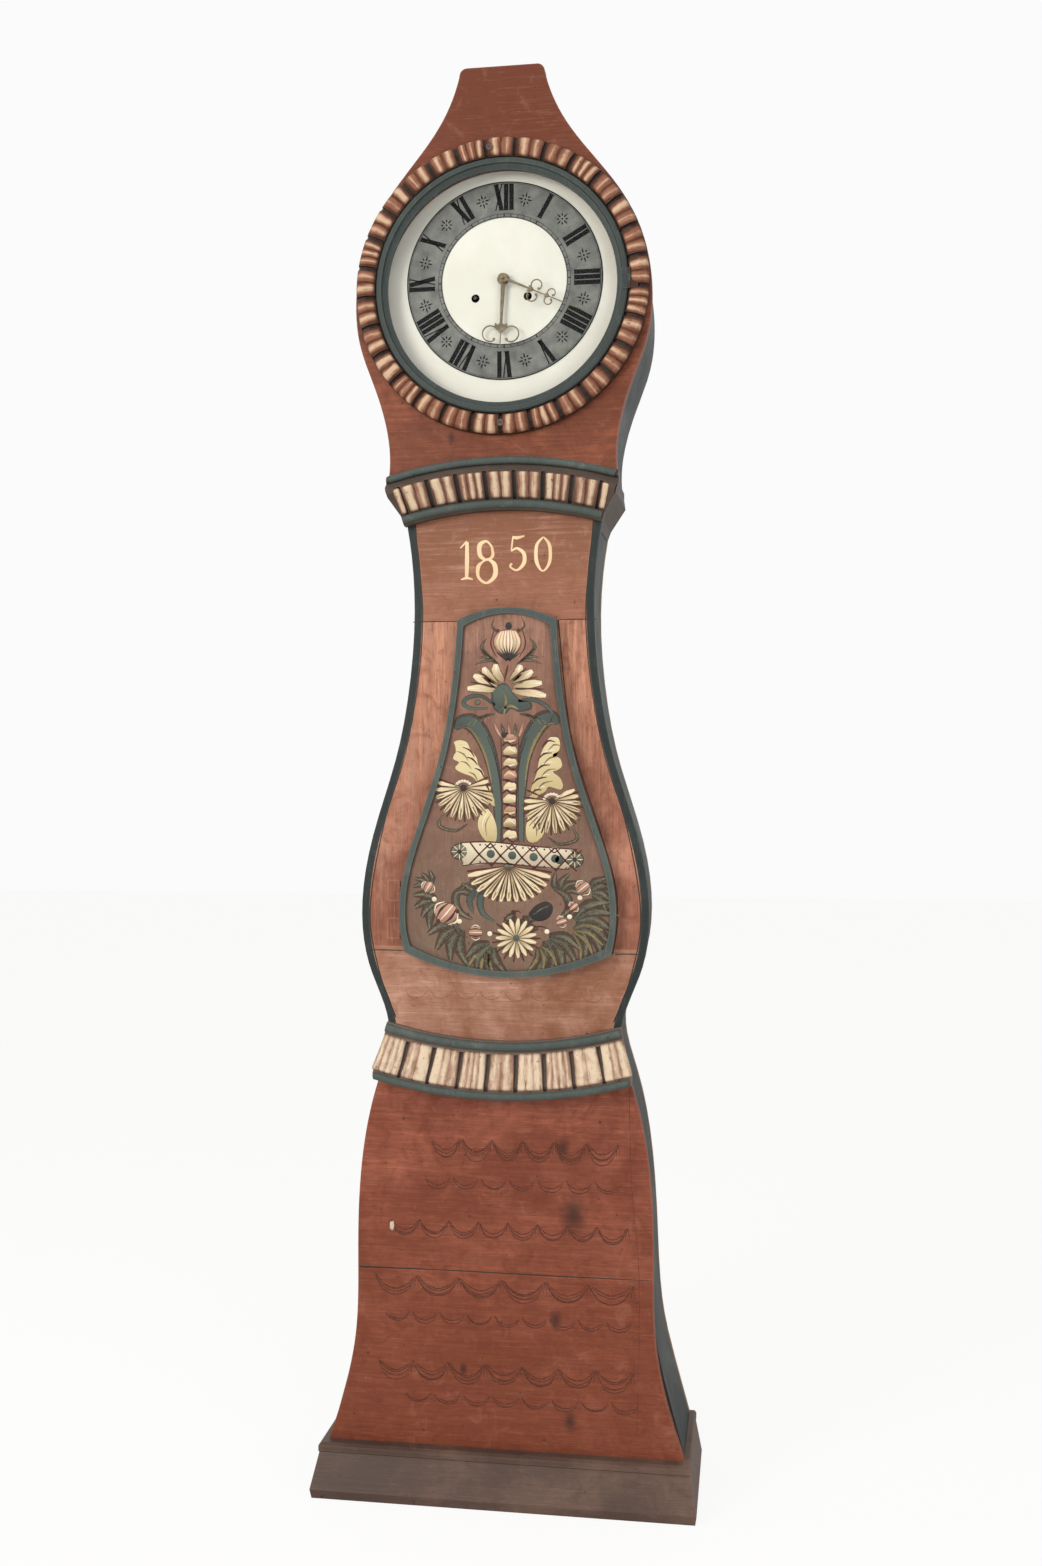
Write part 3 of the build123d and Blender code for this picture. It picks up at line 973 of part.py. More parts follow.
# ---- weights and pendulum --------------------------------------------------------------------------
def make_weight(name, drum_x, side):
    """Cast weight, pulley and line; gives back the fixed upper end and the knot of the line."""
    x = drum_x + side * (line_offset() + pulley_line())
    low, top = WEIGHT_LOW_Z, WEIGHT_LOW_Z + WEIGHT_LENGTH
    body = turned_z(x, LINE_Y, [
        (0, low), (WEIGHT_RADIUS - 3, low), (WEIGHT_RADIUS, low + 3), (WEIGHT_RADIUS, top - 6),
        (WEIGHT_RADIUS - 8, top), (0, top),
    ])
    wheel_z = top + PULLEY_RISE
    body += rod_z(x, LINE_Y, top - 1, wheel_z - PULLEY_FLANGE - 4, 2.2)
    cheek = PULLEY_THICK / 2 + 0.8
    yoke = block(x - 5, x + 5, LINE_Y - cheek - 1.5, LINE_Y + cheek + 1.5,
                 wheel_z - PULLEY_FLANGE - 5, wheel_z + 6)
    yoke -= block(x - 6, x + 6, LINE_Y - cheek, LINE_Y + cheek, wheel_z - PULLEY_FLANGE - 2, wheel_z + 7)
    body += yoke
    body += rod_y(x, wheel_z, LINE_Y - cheek - 1, LINE_Y + cheek + 1, ARBOR)
    save(f"weight_{name}", body.solid())
    half = PULLEY_THICK / 2
    save(f"pulley_{name}", turned_y(x, wheel_z, [
        (ARBOR + HINGE_PLAY, LINE_Y - half), (PULLEY_FLANGE, LINE_Y - half),
        (PULLEY_RADIUS, LINE_Y - 1.5), (PULLEY_RADIUS, LINE_Y + 1.5), (PULLEY_FLANGE, LINE_Y + half),
        (ARBOR + HINGE_PLAY, LINE_Y + half),
    ]))
    near, far = x - side * pulley_line(), x + side * pulley_line()
    fall = Line((near, SEAT_Z), (near, wheel_z))
    turn = ThreePointArc((near, wheel_z), (x, wheel_z - pulley_line()), (far, wheel_z))
    rise = Line((far, wheel_z), (far, SEAT_Z))
    wire = Wire([Plane.XZ * e for e in (fall, turn, rise)])
    start = Plane(origin=(near, 0, SEAT_Z), x_dir=(1, 0, 0), z_dir=(0, 0, -1))
    line = sweep(start * Circle(LINE_RADIUS), path=wire)
    save(f"line_{name}", (Pos(0, LINE_Y, 0) * line).solid())
    top = rod_z(near, LINE_Y, SEAT_Z, DRUM_Z, LINE_RADIUS)
    knot = rod_z(far, LINE_Y, SEAT_Z, SEAT_Z + 4, 3 * LINE_RADIUS)
    return [top.solid(), knot.solid()]


def make_pendulum():
    """Suspension spring, steel rod, brass-faced bob and its rating nut."""
    bob_z = PENDULUM_PIVOT_Z - PENDULUM_LENGTH
    foot = bob_z - BOB_RADIUS - 22
    rod = rod_z(0, PENDULUM_Y, foot, PENDULUM_PIVOT_Z - 20, ROD_RADIUS)
    half = SUSPENSION_WIDTH / 2
    rod += block(-0.2, 0.2, PENDULUM_Y - half, PENDULUM_Y + half, PENDULUM_PIVOT_Z - 21, PENDULUM_PIVOT_Z)
    rod += rod_y(0, PENDULUM_PIVOT_Z, PENDULUM_Y - half - 2, PENDULUM_Y + half + 2, SUSPENSION_PIN)
    save("pendulum_rod", rod.solid())
    half = BOB_THICK / 2
    bob = turned_y(0, bob_z, [
        (0, PENDULUM_Y - half), (30, PENDULUM_Y - half + 1), (58, PENDULUM_Y - half + 4),
        (BOB_RADIUS, PENDULUM_Y - 2), (BOB_RADIUS, PENDULUM_Y + 2), (58, PENDULUM_Y + half - 4),
        (30, PENDULUM_Y + half - 1), (0, PENDULUM_Y + half),
    ])
    bob -= rod_z(0, PENDULUM_Y, bob_z - 2 * BOB_RADIUS, bob_z + 2 * BOB_RADIUS, ROD_RADIUS)
    save("pendulum_bob", bob.solid())
    nut_top = bob_z - BOB_RADIUS - 0.3
    nut = Pos(0, PENDULUM_Y, nut_top - 5) * extrude(RegularPolygon(9, 6), amount=5, both=True)
    save("rating_nut", (nut - rod_z(0, PENDULUM_Y, foot - 1, nut_top + 1, ROD_RADIUS)).solid())


make_backboard()
make_sides()
make_waist_boards()
make_base_boards()
make_upper_moulding()
make_lower_moulding()
make_plinth()
make_seat_board()
make_waist_door()
make_waist_hinges()
make_hood()
make_bezel_ring()
make_dial_door()
make_dial()
make_hands()
make_plates()
make_going_train()
make_anchor()
make_motion_work()
make_strike_train()
make_bells()
save("line_tops", *make_weight("going", GOING_X, 1), *make_weight("strike", STRIKE_X, -1))
make_pendulum()
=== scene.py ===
# %% [markdown]
# # A painted long-case clock
#
# The CAD model gives every board, wheel and hinge its place. This lesson dresses it: worn red paint
# with green beads, a ring of painted flutes round the dial, a flower painting on the waist door, and
# a printed-looking dial made of thin strokes. Sizes are in millimetres, and MM turns them to metres.

# %% Load the clock
import functools
import math
import random

import bpy
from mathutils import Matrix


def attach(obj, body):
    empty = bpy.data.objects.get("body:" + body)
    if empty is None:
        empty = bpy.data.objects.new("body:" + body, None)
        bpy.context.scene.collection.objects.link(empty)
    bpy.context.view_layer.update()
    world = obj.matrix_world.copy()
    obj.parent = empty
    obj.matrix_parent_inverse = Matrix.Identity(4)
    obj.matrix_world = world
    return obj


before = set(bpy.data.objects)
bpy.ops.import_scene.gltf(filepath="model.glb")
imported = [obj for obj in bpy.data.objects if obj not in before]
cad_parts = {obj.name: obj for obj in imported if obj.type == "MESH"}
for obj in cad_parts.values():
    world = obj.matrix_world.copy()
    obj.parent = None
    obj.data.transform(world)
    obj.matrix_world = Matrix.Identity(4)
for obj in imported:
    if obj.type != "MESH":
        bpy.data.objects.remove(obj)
MM = 0.001
random.seed(11)
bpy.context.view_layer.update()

# %% [markdown]
# ## Nodes as formulas
#
# Colours are written as sRGB hex codes and turned into the linear values that shaders use. One
# function adds a node with its settings and inputs and gives back one of its outputs, so that a
# chain of nodes reads like a formula. Each new material comes with that function tied to its tree.


# %% Colours, nodes and materials
def rgb(code):
    """Linear colour, with alpha, of an sRGB hex code."""
    parts = [int(code[i:i + 2], 16) / 255 for i in (1, 3, 5)]
    return tuple(p / 12.92 if p <= 0.04045 else ((p + 0.055) / 1.055) ** 2.4 for p in parts) + (1.0,)


def add_node(tree, kind, inputs=(), out=0, **settings):
    """Add a shader node; its inputs are numbers, colours or sockets, in order or by name."""
    made = tree.nodes.new("ShaderNode" + kind)
    for name, value in settings.items():
        setattr(made, name, value)
    for name, value in inputs.items() if isinstance(inputs, dict) else enumerate(inputs):
        if isinstance(value, bpy.types.NodeSocket):
            tree.links.new(value, made.inputs[name])
        else:
            made.inputs[name].default_value = value
    return made.outputs[out] if made.outputs else made


def new_material(name):
    """An empty material, and the function that adds nodes to it."""
    made = bpy.data.materials.new(name)
    made.use_nodes = True
    made.node_tree.nodes.clear()
    return made, functools.partial(add_node, made.node_tree)


print("a mid grey in linear light:", round(rgb("#808080")[0], 3))

# %% [markdown]
# ## Patterns and layers
#
# Paint is built up here as it was on the wood: a colour goes over what lies below it wherever a
# pattern passes from one level to another. A pattern is noise with marks as large as the real ones,
# such as a fibre or a patch. On flutes and brush strokes the UV map counts in whole strokes, so
# there a mark's size is a share of one stroke.


# %% Patterns and layers
def pattern(add, size, detail, rough, warp=0.0, offset=(0, 0, 0), coords="Object"):
    """Noise between 0 and 1, with marks of one size, or of a size along each axis."""
    sizes = (size,) * 3 if isinstance(size, (int, float)) else size
    unit = MM if coords == "Object" else 1.0
    scale = [1 / (side * unit) for side in sizes]
    place = add("Mapping", {"Vector": add("TexCoord", out=coords), "Scale": scale, "Location": offset})
    return add("TexNoise", {"Vector": place, "Scale": 1.0, "Detail": detail, "Roughness": rough,
                            "Distortion": warp})


def lay(add, below, code, value, low, high, share=1.0):
    """Lay a colour over what is below where a value goes from low to high, at most by a share."""
    mask = add("MapRange", (value, low, high, 0.0, share))
    return add("Mix", {0: mask, 6: below, 7: rgb(code)}, out=2, data_type="RGBA")


def total(add, start, *terms):
    """A value plus others, each times its own weight."""
    for value, weight in terms:
        start = add("Math", (value, weight, start), operation="MULTIPLY_ADD")
    return start


def apart(add, value, middle):
    """How far a value is from a middle one."""
    return add("Math", (add("Math", (value, middle), operation="SUBTRACT"),), operation="ABSOLUTE")


def coat(add, colour, rough, relief):
    """Close a material with the matt skin of old paint, its relief a bump of up to a millimetre."""
    bump = add("Bump", {"Height": relief, "Strength": 0.5, "Distance": MM})
    skin = {"Base Color": colour, "Roughness": rough, "Normal": bump, "Specular IOR Level": 0.2}
    add("OutputMaterial", (add("BsdfPrincipled", skin),))


print("a mark of 5 mm comes", round(1 / (5 * MM)), "times in a metre")

# %% [markdown]
# ## Worn oil paint on pine
#
# The boards are planed pine under brushed linseed-oil paint. To the eye that is a matt colour with
# darker lines along the grain and cloudy patches, thin on sharp edges, where hands have rubbed it,
# and darker in the corners, which is painted shade as well as dirt. An image of old wood could be laid
# on each board, but patterns of a real size fit every board without a seam, and probes find each
# board's own edges and corners: a bevel probe the edges, an occlusion probe the corners for the
# painted shade and dirt. Knots are soft discs at given places.


# %% Knots, edges and corners
def darken_knots(add, colour, dirt_and_shade, knots, place, wobble):
    """A knot is (x, z, size); the wobble makes its outline uneven."""
    for x, z, size in knots:
        middle = {"Vector": place, "Scale": (1, 0, 0.62), "Location": (-x * MM, 0, -0.62 * z * MM)}
        away = add("VectorMath", (add("Mapping", middle),), out="Value", operation="LENGTH")
        away = total(add, away, (wobble, 0.6 * size * MM))
        colour = lay(add, colour, dirt_and_shade, away, 1.4 * size * MM, 0.5 * size * MM, 0.75)
    return colour


def rub_edges(add, colour, worn, wobble):
    """Wear where the true surface turns away from one with soft edges."""
    soft = add("Bevel", {"Radius": 3.5 * MM}, samples=4)
    true = add("NewGeometry", out="Normal")
    alike = add("VectorMath", (true, soft), out="Value", operation="DOT_PRODUCT")
    return lay(add, colour, worn, total(add, alike, (wobble, 0.12)), 1.04, 0.9, 0.22)


def corner_shade_and_dirt(add, colour, dirt_and_shade, reach, full, share, alone=False):
    """Painted shade and dirt where something stands within reach; alone counts only the piece itself."""
    free = add("AmbientOcclusion", {"Distance": reach * MM}, out="AO", samples=4, only_local=alone)
    return lay(add, colour, dirt_and_shade, free, 0.85, full, share)


print("a knot 20 mm wide is darkest within", 0.5 * 20, "mm")

# %% [markdown]
# ### The painted board
#
# Growth lines of pine are a few millimetres apart and run the length of a board. Single fibres are
# far too fine to show, so the hair lines are drawn a little over a millimetre wide. A fade changes
# the colour between two heights to another colour, and the patches shift its border up and down. All
# boards share one function, since they were cut and painted together, and differ only in their
# colours and wear.


# %% Painted wood
GRAIN = {"X": (111, 11.1, 4.76), "Z": (8.33, 11.1, 125)}
HAIR_SHARE = 3.5
FADE_SHIFT = 0.25
PATCH_MEAN = 0.48


def painted_wood(name, paint, deep, worn, dirt_and_shade, grain="X", wear=0.5, rough=0.5, knots=(),
                 fades=(), alone=True):
    """Paint on a board; a fade is (from height, to height, colour), and its shift is in metres."""
    made, add = new_material(name)
    place = add("TexCoord", out="Object")
    patches = pattern(add, 167, 5.0, 0.6, 0.6)
    fine = pattern(add, 3.85, 3.0, 0.6)
    fibre = pattern(add, GRAIN[grain], 7.0, 0.6, 0.4)
    hair = pattern(add, [size / HAIR_SHARE for size in GRAIN[grain]], 6.0, 0.7, 0.4)
    mottle = pattern(add, 29.4, 6.0, 0.72, 0.8, offset=(5, 2, 7))
    pits = pattern(add, 9.09, 2.0, 0.5, offset=(3, 1, 2))
    colour = lay(add, rgb(deep), paint, patches, 0.35, 0.68)
    drift = total(add, add("SeparateXYZ", (place,), out=2), (patches, FADE_SHIFT))
    raised = PATCH_MEAN * FADE_SHIFT
    for start, end, tint in fades:
        colour = lay(add, colour, tint, drift, start * MM + raised, end * MM + raised)
    colour = lay(add, colour, deep, fibre, 0.38, 0.66, 0.7)
    colour = lay(add, colour, deep, hair, 0.52, 0.66, 0.75)
    colour = lay(add, colour, worn, hair, 0.42, 0.3, 0.25)
    thin = total(add, 0.0, (fibre, 0.6), (patches, 0.5))
    colour = lay(add, colour, worn, thin, 0.62 - 0.1 * wear, 0.86 - 0.1 * wear, wear)
    colour = lay(add, colour, deep, mottle, 0.5, 0.66, 0.6)
    colour = lay(add, colour, worn, mottle, 0.44, 0.33, 0.14)
    colour = lay(add, colour, dirt_and_shade, pits, 0.71, 0.78, 0.8)
    colour = darken_knots(add, colour, dirt_and_shade, knots, place, patches)
    colour = rub_edges(add, colour, worn, fine)
    # Painted shade and dirt in the corners, within 30 mm of whatever stands near.
    colour = corner_shade_and_dirt(add, colour, dirt_and_shade, 30, 0.25, 0.75, alone)
    gloss = add("MapRange", (patches, 0.3, 0.7, rough - 0.08, rough + 0.12))
    coat(add, colour, gloss, total(add, 0.0, (fibre, 0.7), (fine, 0.25)))
    return made


print("growth lines along a rail, length and widths:", [round(size, 1) for size in GRAIN["X"]])

# %% [markdown]
# ### The paints of this clock
#
# The red differs from part to part: deep on the base and darker towards its foot, darker towards the
# top of the hood, lighter towards the top of the stiles, and a pale rose on the lower rail, while the
# top rail is darker and darkest towards its top. The rims are a green gone nearly grey, and the
# plinth is brown. The back was never painted and shows the pine.

# %% Paints of the case
DIRT_AND_SHADE = "#2b1a15"
BASE_KNOTS = [(103, 425, 22), (88, 520, 12), (77, 268, 11), (98, 122, 12), (-60, 190, 6)]
red_base = painted_wood("red paint, base", "#995843", "#602c1b", "#b07c64", DIRT_AND_SHADE, wear=0.3,
                        knots=BASE_KNOTS, fades=[(600, 60, "#773e29")])
red_hood = painted_wood("red paint, hood", "#9a5a41", "#5a2c1a", "#a97862", DIRT_AND_SHADE, wear=0.3,
                        knots=[(-75, 1560, 6)], fades=[(1860, 2040, "#5f2d1a")])
red_stile = painted_wood("red paint, stiles", "#a7705a", "#6f412f", "#cda189", DIRT_AND_SHADE, "Z", 0.55,
                         fades=[(980, 1200, "#b88369")])
red_rail = painted_wood("red paint, rails", "#c09582", "#784b32", "#c99f88", DIRT_AND_SHADE,
                        fades=[(1000, 1250, "#936350"), (1310, 1400, "#7d523f")])
# The door's ground also takes painted shade round the strokes laid on it.
door_ground = painted_wood("door ground", "#7f5e4f", "#66493c", "#a98672", "#2c1f19", "Z", 0.35,
                           fades=[(1080, 850, "#6a5a4a"), (1120, 1290, "#a07663")], alone=False)
green = painted_wood("green paint", "#4f5852", "#3d4441", "#83887e", "#141816", "Z", 0.2)
green_ring = painted_wood("green paint, ring", "#3d4542", "#2f3634", "#6d736d", "#101412", "Z", 0.15)
green_dark = painted_wood("green black paint", "#2b3230", "#1f2524", "#5d625c", "#0d100f", "Z", 0.15)
dark = painted_wood("dark brown paint", "#675146", "#473831", "#8a6a5a", "#1d1715", wear=0.45, rough=0.42)
raw = painted_wood("bare pine", "#a5845c", "#8a6a45", "#b99a70", "#4a3522", "Z", 0.4, 0.7)
band_ground = painted_wood("band ground", "#55483e", "#3d342d", "#7d5a4a", "#1c1512", wear=0.3)
ring_ground = painted_wood("ring ground", "#452a1d", "#2f1d13", "#73503f", "#1c1512", wear=0.2)
pad_ground = painted_wood("pad ground", "#75665a", "#5b4d44", "#8a6454", "#2a1a14", wear=0.2)
print("paints of the case:", len(bpy.data.materials))

# %% [markdown]
# ## Painted flutes
#
# The round door and the mouldings carry carved pads, each with a few ridges side by side. They were
# painted in broken strokes of cream over a pinkish brown, which shows towards the valleys, so to the
# eye each pad is a bundle of pale, streaky ribs. The cream on the ridge tops is also a painted
# highlight, and a dark colour in the valleys and at the ends of each pad is painted shade. Patterns in
# space would run straight across the ribs, so the paint reads a UV map that counts ridges across (u)
# and runs from end to end (v).


# %% Paint of the flutes
def own_value(add, number):
    """One random value for each whole number, such as one flute or one brush stroke."""
    whole = add("Math", (number,), operation="FLOOR")
    return add("TexWhiteNoise", {"W": whole}, out="Value", noise_dimensions="1D")


def flute_paint(name, cream, ground, shade, cover, ridged, streaks=(0.1429, 1.111, 1.0)):
    """Cream, a painted highlight too, over ground over painted shade, from each ridge top down to the valley
    beside it.

    A higher cover leaves more of the ground in sight, and ridged is how much the paint minds the ridge.
    """
    made, add = new_material(name)
    split = [add("SeparateXYZ", (add("TexCoord", out="UV"),), out=axis) for axis in (0, 1)]
    wander = pattern(add, (1.111, 0.625, 1.0), 2.0, 0.5, coords="UV")
    streak = pattern(add, streaks, 5.0, 0.65, 0.5, coords="UV")
    blotch = pattern(add, 14.3, 4.0, 0.6)
    rub = pattern(add, 6.67, 3.0, 0.6, offset=(2, 2, 2))
    across = total(add, add("Math", (split[0],), operation="FRACT"), (wander, 0.24))
    ridge = apart(add, across, 0.66)
    body = total(add, 0.5 + 0.5 * ridged, (ridge, -2.0 * ridged), (streak, 1.4 - 0.5 * ridged))
    light = total(add, body, (own_value(add, split[0]), 0.45), (blotch, 0.5))
    # Painted shade in the valleys and a painted highlight on the ridge tops, following the carving.
    colour = lay(add, rgb(shade), ground, body, 0.5, 0.95)
    colour = lay(add, colour, cream, light, cover, cover + 0.42)
    colour = lay(add, colour, shade, rub, 0.64, 0.72, 0.7)
    # Painted shade towards both ends of each pad.
    colour = lay(add, colour, shade, apart(add, split[1], 0.5), 0.44, 0.5, 0.5)
    # Painted shade and dirt in the crevices between the pads.
    colour = corner_shade_and_dirt(add, colour, "#2a1811", 12, 0.3, 0.7)
    coat(add, colour, 0.72, total(add, streak, (blotch, 0.5)))
    return made


ring_flutes = flute_paint("ring flutes", "#bb9f83", "#7f523f", "#42220f", 1.46, 0.9)
upper_flutes = flute_paint("upper flutes", "#c6b093", "#886050", "#3f2a20", 1.30, 0.8)
lower_flutes = flute_paint("lower flutes", "#cbb79d", "#987763", "#4d2f22", 1.30, 0.4,
                           (0.3846, 0.4167, 1.0))
print("flute paints:", ring_flutes.name, "/", upper_flutes.name, "/", lower_flutes.name)

# %% [markdown]
# ## Sheets of points
#
# Flutes, brush strokes and beads are all thin skins in front of the CAD pieces. Curves with a bevel
# could make them, but points that are placed one by one follow any surface and carry their own UV
# places. A sheet collects them and becomes one object that rides on the body it belongs to. U counts
# strokes by whole numbers, and a stroke uses nearly all of its one, so that no two strokes blend.


# %% Sheets
STROKE_RUN = 0.98


class Sheet:
    """Points and faces in millimetres that become one object."""

    def __init__(self):
        self.points, self.faces, self.uvs = [], [], []

    def grid(self, rows, uv_rows):
        """Join equal rows of points by quads."""
        start, width = len(self.points), len(rows[0])
        for row, uv_row in zip(rows, uv_rows):
            self.points += row
            self.uvs += uv_row
        for i in range(len(rows) - 1):
            for j in range(width - 1):
                a = start + i * width + j
                self.faces.append((a, a + 1, a + width + 1, a + width))

    def patch(self, rim, inner, seed):
        """A filled shape whose V runs from 0 on its rim to one half inside; U rises with its height."""
        start, count = len(self.points), len(rim)
        low, high = min(p[2] for p in rim), max(p[2] for p in rim)
        for ring, depth in ((rim, 0.0), (inner, 0.5)):
            self.points += ring
            self.uvs += [(seed + STROKE_RUN * (p[2] - low) / (high - low), depth) for p in ring]
        for i in range(count):
            j = (i + 1) % count
            self.faces.append((start + i, start + j, start + count + j, start + count + i))
        self.faces.append(tuple(range(start + count, start + 2 * count)))

    def build(self, name, material, body, slot, smooth=False):
        """One object of all the points, in metres, that rides on a body."""
        mesh = bpy.data.meshes.new(name)
        mesh.from_pydata([tuple(c * MM for c in p) for p in self.points], [], self.faces)
        layer = mesh.uv_layers.new(name="UVMap")
        for loop in mesh.loops:
            layer.data[loop.index].uv = self.uvs[loop.vertex_index]
        mesh.materials.append(material)
        if smooth:
            mesh.shade_smooth()
        made = bpy.data.objects.new(name, mesh)
        bpy.context.scene.collection.objects.link(made)
        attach(made, body)
        return made


trial = Sheet()
trial.grid([[(0, 0, 0), (1, 0, 0)], [(0, 0, 1), (1, 0, 1)]], [[(0, 0), (1, 0)], [(0, 1), (1, 1)]])
print("four points make faces:", len(trial.faces))

# %% [markdown]
# ## Carved flutes
#
# A flute lies between two radii of its arc and bulges from the CAD moulding behind it, whose place
# is read from a table of (radius, y) pairs. Its ends are rounded, its edges fall to the moulding,
# and it grows wider with the radius, as pads on a ring do. Some have a crease near one end. Sculpting
# would give each its own shape, but a formula with a little chance in it is lighter and as lively.
# The rim of a flute is sunk a little into the moulding, so that no gap shows below it.


# %% Flutes along an arc
STEPS_ALONG, STEPS_ACROSS = 22, 10
CREASE_DEPTH, CREASE_WIDTH = 0.7, 0.035
FLUTE_SUNK = 0.4


def interpolate(pairs, at):
    """Straight-line reading of a table of (place, value) pairs in rising order."""
    if at <= pairs[0][0]:
        return pairs[0][1]
    for (a, low), (b, high) in zip(pairs, pairs[1:]):
        if at <= b:
            return low + (high - low) * (at - a) / (b - a)
    return pairs[-1][1]


def flute(sheet, angle, width, ridges, seed, centre_z, low, high, profile, bulge, sign=1, clear_of=(),
          deep=0.45, taper=0.12, crease=None):
    """One pad at an angle; deep is how far its valleys sink, and clear_of lists (x, z, radius) to avoid."""
    rows, uv_rows = [], []
    across = STEPS_ACROSS * ridges
    width *= random.uniform(0.95, 1.05)
    for i in range(STEPS_ALONG + 1):
        along = i / STEPS_ALONG
        radius = low + (high - low) * along
        end = math.sqrt(max(0.0, 1 - (2 * along - 1) ** 14))
        dent = 1.0
        if crease is not None:
            dent -= CREASE_DEPTH * math.exp(-((along - crease) / CREASE_WIDTH) ** 2)
        row, uv_row = [], []
        for j in range(across + 1):
            part = j / across
            lift = abs(math.sin(math.pi * part * ridges)) ** 0.8
            edge = math.sin(math.pi * part) ** 0.4
            turn = angle + (part - 0.5) * width * (0.9 + 0.1 * end) * (1 + taper * (along - 0.5)) / radius
            x, z = sign * radius * math.sin(turn), centre_z + sign * radius * math.cos(turn)
            rise = end * dent * bulge * (deep * lift + 1 - deep) * edge
            for spot_x, spot_z, spot_radius in clear_of:
                rise *= min(1.0, max(0.0, math.hypot(x - spot_x, z - spot_z) - spot_radius) / 3)
            row.append((x, interpolate(profile, radius) + FLUTE_SUNK - rise, z))
            uv_row.append((seed + part * ridges, along))
        rows.append(row[::sign])
        uv_rows.append(uv_row[::sign])
    sheet.grid(rows, uv_rows)


def fluted_band(name, material, body, pitch, turns, ridges=(2,), gap=7.0, **shape):
    """Flutes at the given turns of an arc; their numbers of ridges come from a repeating list."""
    sheet = Sheet()
    width = pitch * (shape["low"] + shape["high"]) / 2 - gap
    for k, turn in enumerate(turns):
        flute(sheet, turn, width, ridges[k % len(ridges)], 10 * k, **shape)
    made = sheet.build(name, material, body, "carved_paint", smooth=True)
    print(name, "faces:", len(made.data.polygons))


print("a profile read half way up:", interpolate([(0, -90), (10, -100)], 5))

# %% [markdown]
# ### The ring round the dial
#
# Twenty-nine flutes stand round the door's ring. Two screws hold the ring to the hood, and the
# flutes under their heads are cut down to clear them.

# %% Ring of flutes
RING_FLUTES, RING_Z = 29, 1777.0
SCREWS = [(-15.7, 1976.9, 5.2), (0.0, 1576.5, 5.2)]
ring_pitch = 2 * math.pi / RING_FLUTES
fluted_band("ring_flutes", ring_flutes, "hood", ring_pitch, [k * ring_pitch for k in range(RING_FLUTES)],
            (2, 2, 2, 3, 2), 7.5, centre_z=RING_Z, low=188.0, high=215.6, bulge=3.0, clear_of=SCREWS,
            taper=0.24, profile=[(187, -102), (191, -105), (203, -107), (212, -104), (216, -98)])

# %% [markdown]
# ### The two mouldings
#
# The upper moulding arches up under the hood and the lower one sags below the waist. Each arc's
# radius comes from its rise and its half width. A narrow flute closes each end of the upper one.

# %% Upper moulding
ARCH, ARCH_HALF, NECK_Z = 24.0, 168.5, 1505.0
arch_radius = (ARCH_HALF ** 2 + ARCH ** 2) / (2 * ARCH)
arch_centre = NECK_Z + ARCH - arch_radius
upper = [(-76, -87), (-72, -91), (-63, -91), (-60, -88), (-44, -97), (-28, -107), (-23, -108), (-13, -100)]
upper = [(arch_radius + rise, y) for rise, y in upper]
arch_pitch = 45.0 / arch_radius
fluted_band("upper_flutes", upper_flutes, "case", arch_pitch, [(k - 0.04) * arch_pitch for k in range(-3, 4)],
            (2, 2, 3), 8.0, centre_z=arch_centre, low=arch_radius - 59.5, high=arch_radius - 23.5,
            profile=upper, bulge=3.0)
fluted_band("upper_end_flutes", upper_flutes, "case", 14.5 / arch_radius,
            [-163.5 / arch_radius, 162.5 / arch_radius], (1,), 3.5, centre_z=arch_centre,
            low=arch_radius - 59.0, high=arch_radius - 24.0, profile=upper, bulge=1.6)

# %% Lower moulding
SAG, SAG_HALF, LOWER_Z = 24.5, 172.0, 700.0
sag_radius = (SAG_HALF ** 2 + SAG ** 2) / (2 * SAG)
sag_centre = LOWER_Z - SAG + sag_radius
lower = [(15, -85), (20, -87), (45, -94), (64, -104), (70, -104), (73, -108), (80, -108)]
lower = [(sag_radius + drop, y) for drop, y in lower]
sag_pitch = 39.2 / sag_radius
fluted_band("lower_flutes", lower_flutes, "case", sag_pitch, [k * sag_pitch for k in range(-4, 5)],
            (3, 2, 4), 6.0, centre_z=sag_centre, low=sag_radius + 16.5, high=sag_radius + 69.5,
            profile=lower, bulge=3.6, sign=-1, deep=0.3, taper=0.18, crease=0.78)

# %% [markdown]
# ## Brush strokes
#
# A stroke is a smooth line through a few points with a width that changes along it. All strokes of
# one colour on one surface become one thin object, and every layer lies a hair in front of the last.
# Drawings use their own units, with u to the right and v downwards, and a scale for each surface.
# Widths are in drawing units too.


# %% A smooth line
def smooth_line(points, steps=7):
    """A rounded curve through points of any number of coordinates."""
    out, last = [], len(points) - 1
    for i in range(last):
        near = [points[max(i - 1, 0)], points[i], points[i + 1], points[min(i + 2, last)]]
        for k in range(steps):
            t = k / steps
            out.append(tuple(
                0.5 * (2 * b + (c - a) * t + (2 * a - 5 * b + 4 * c - d) * t * t
                       + (3 * b - a - 3 * c + d) * t ** 3)
                for a, b, c, d in zip(*near)))
    return out + [tuple(points[-1])]


print("points on a line through four:", len(smooth_line([(0, 0), (1, 1), (2, 0), (3, 1)])))


# %% Drawings
FIRST_LAYER, LAYER_STEP = 0.05, 0.02


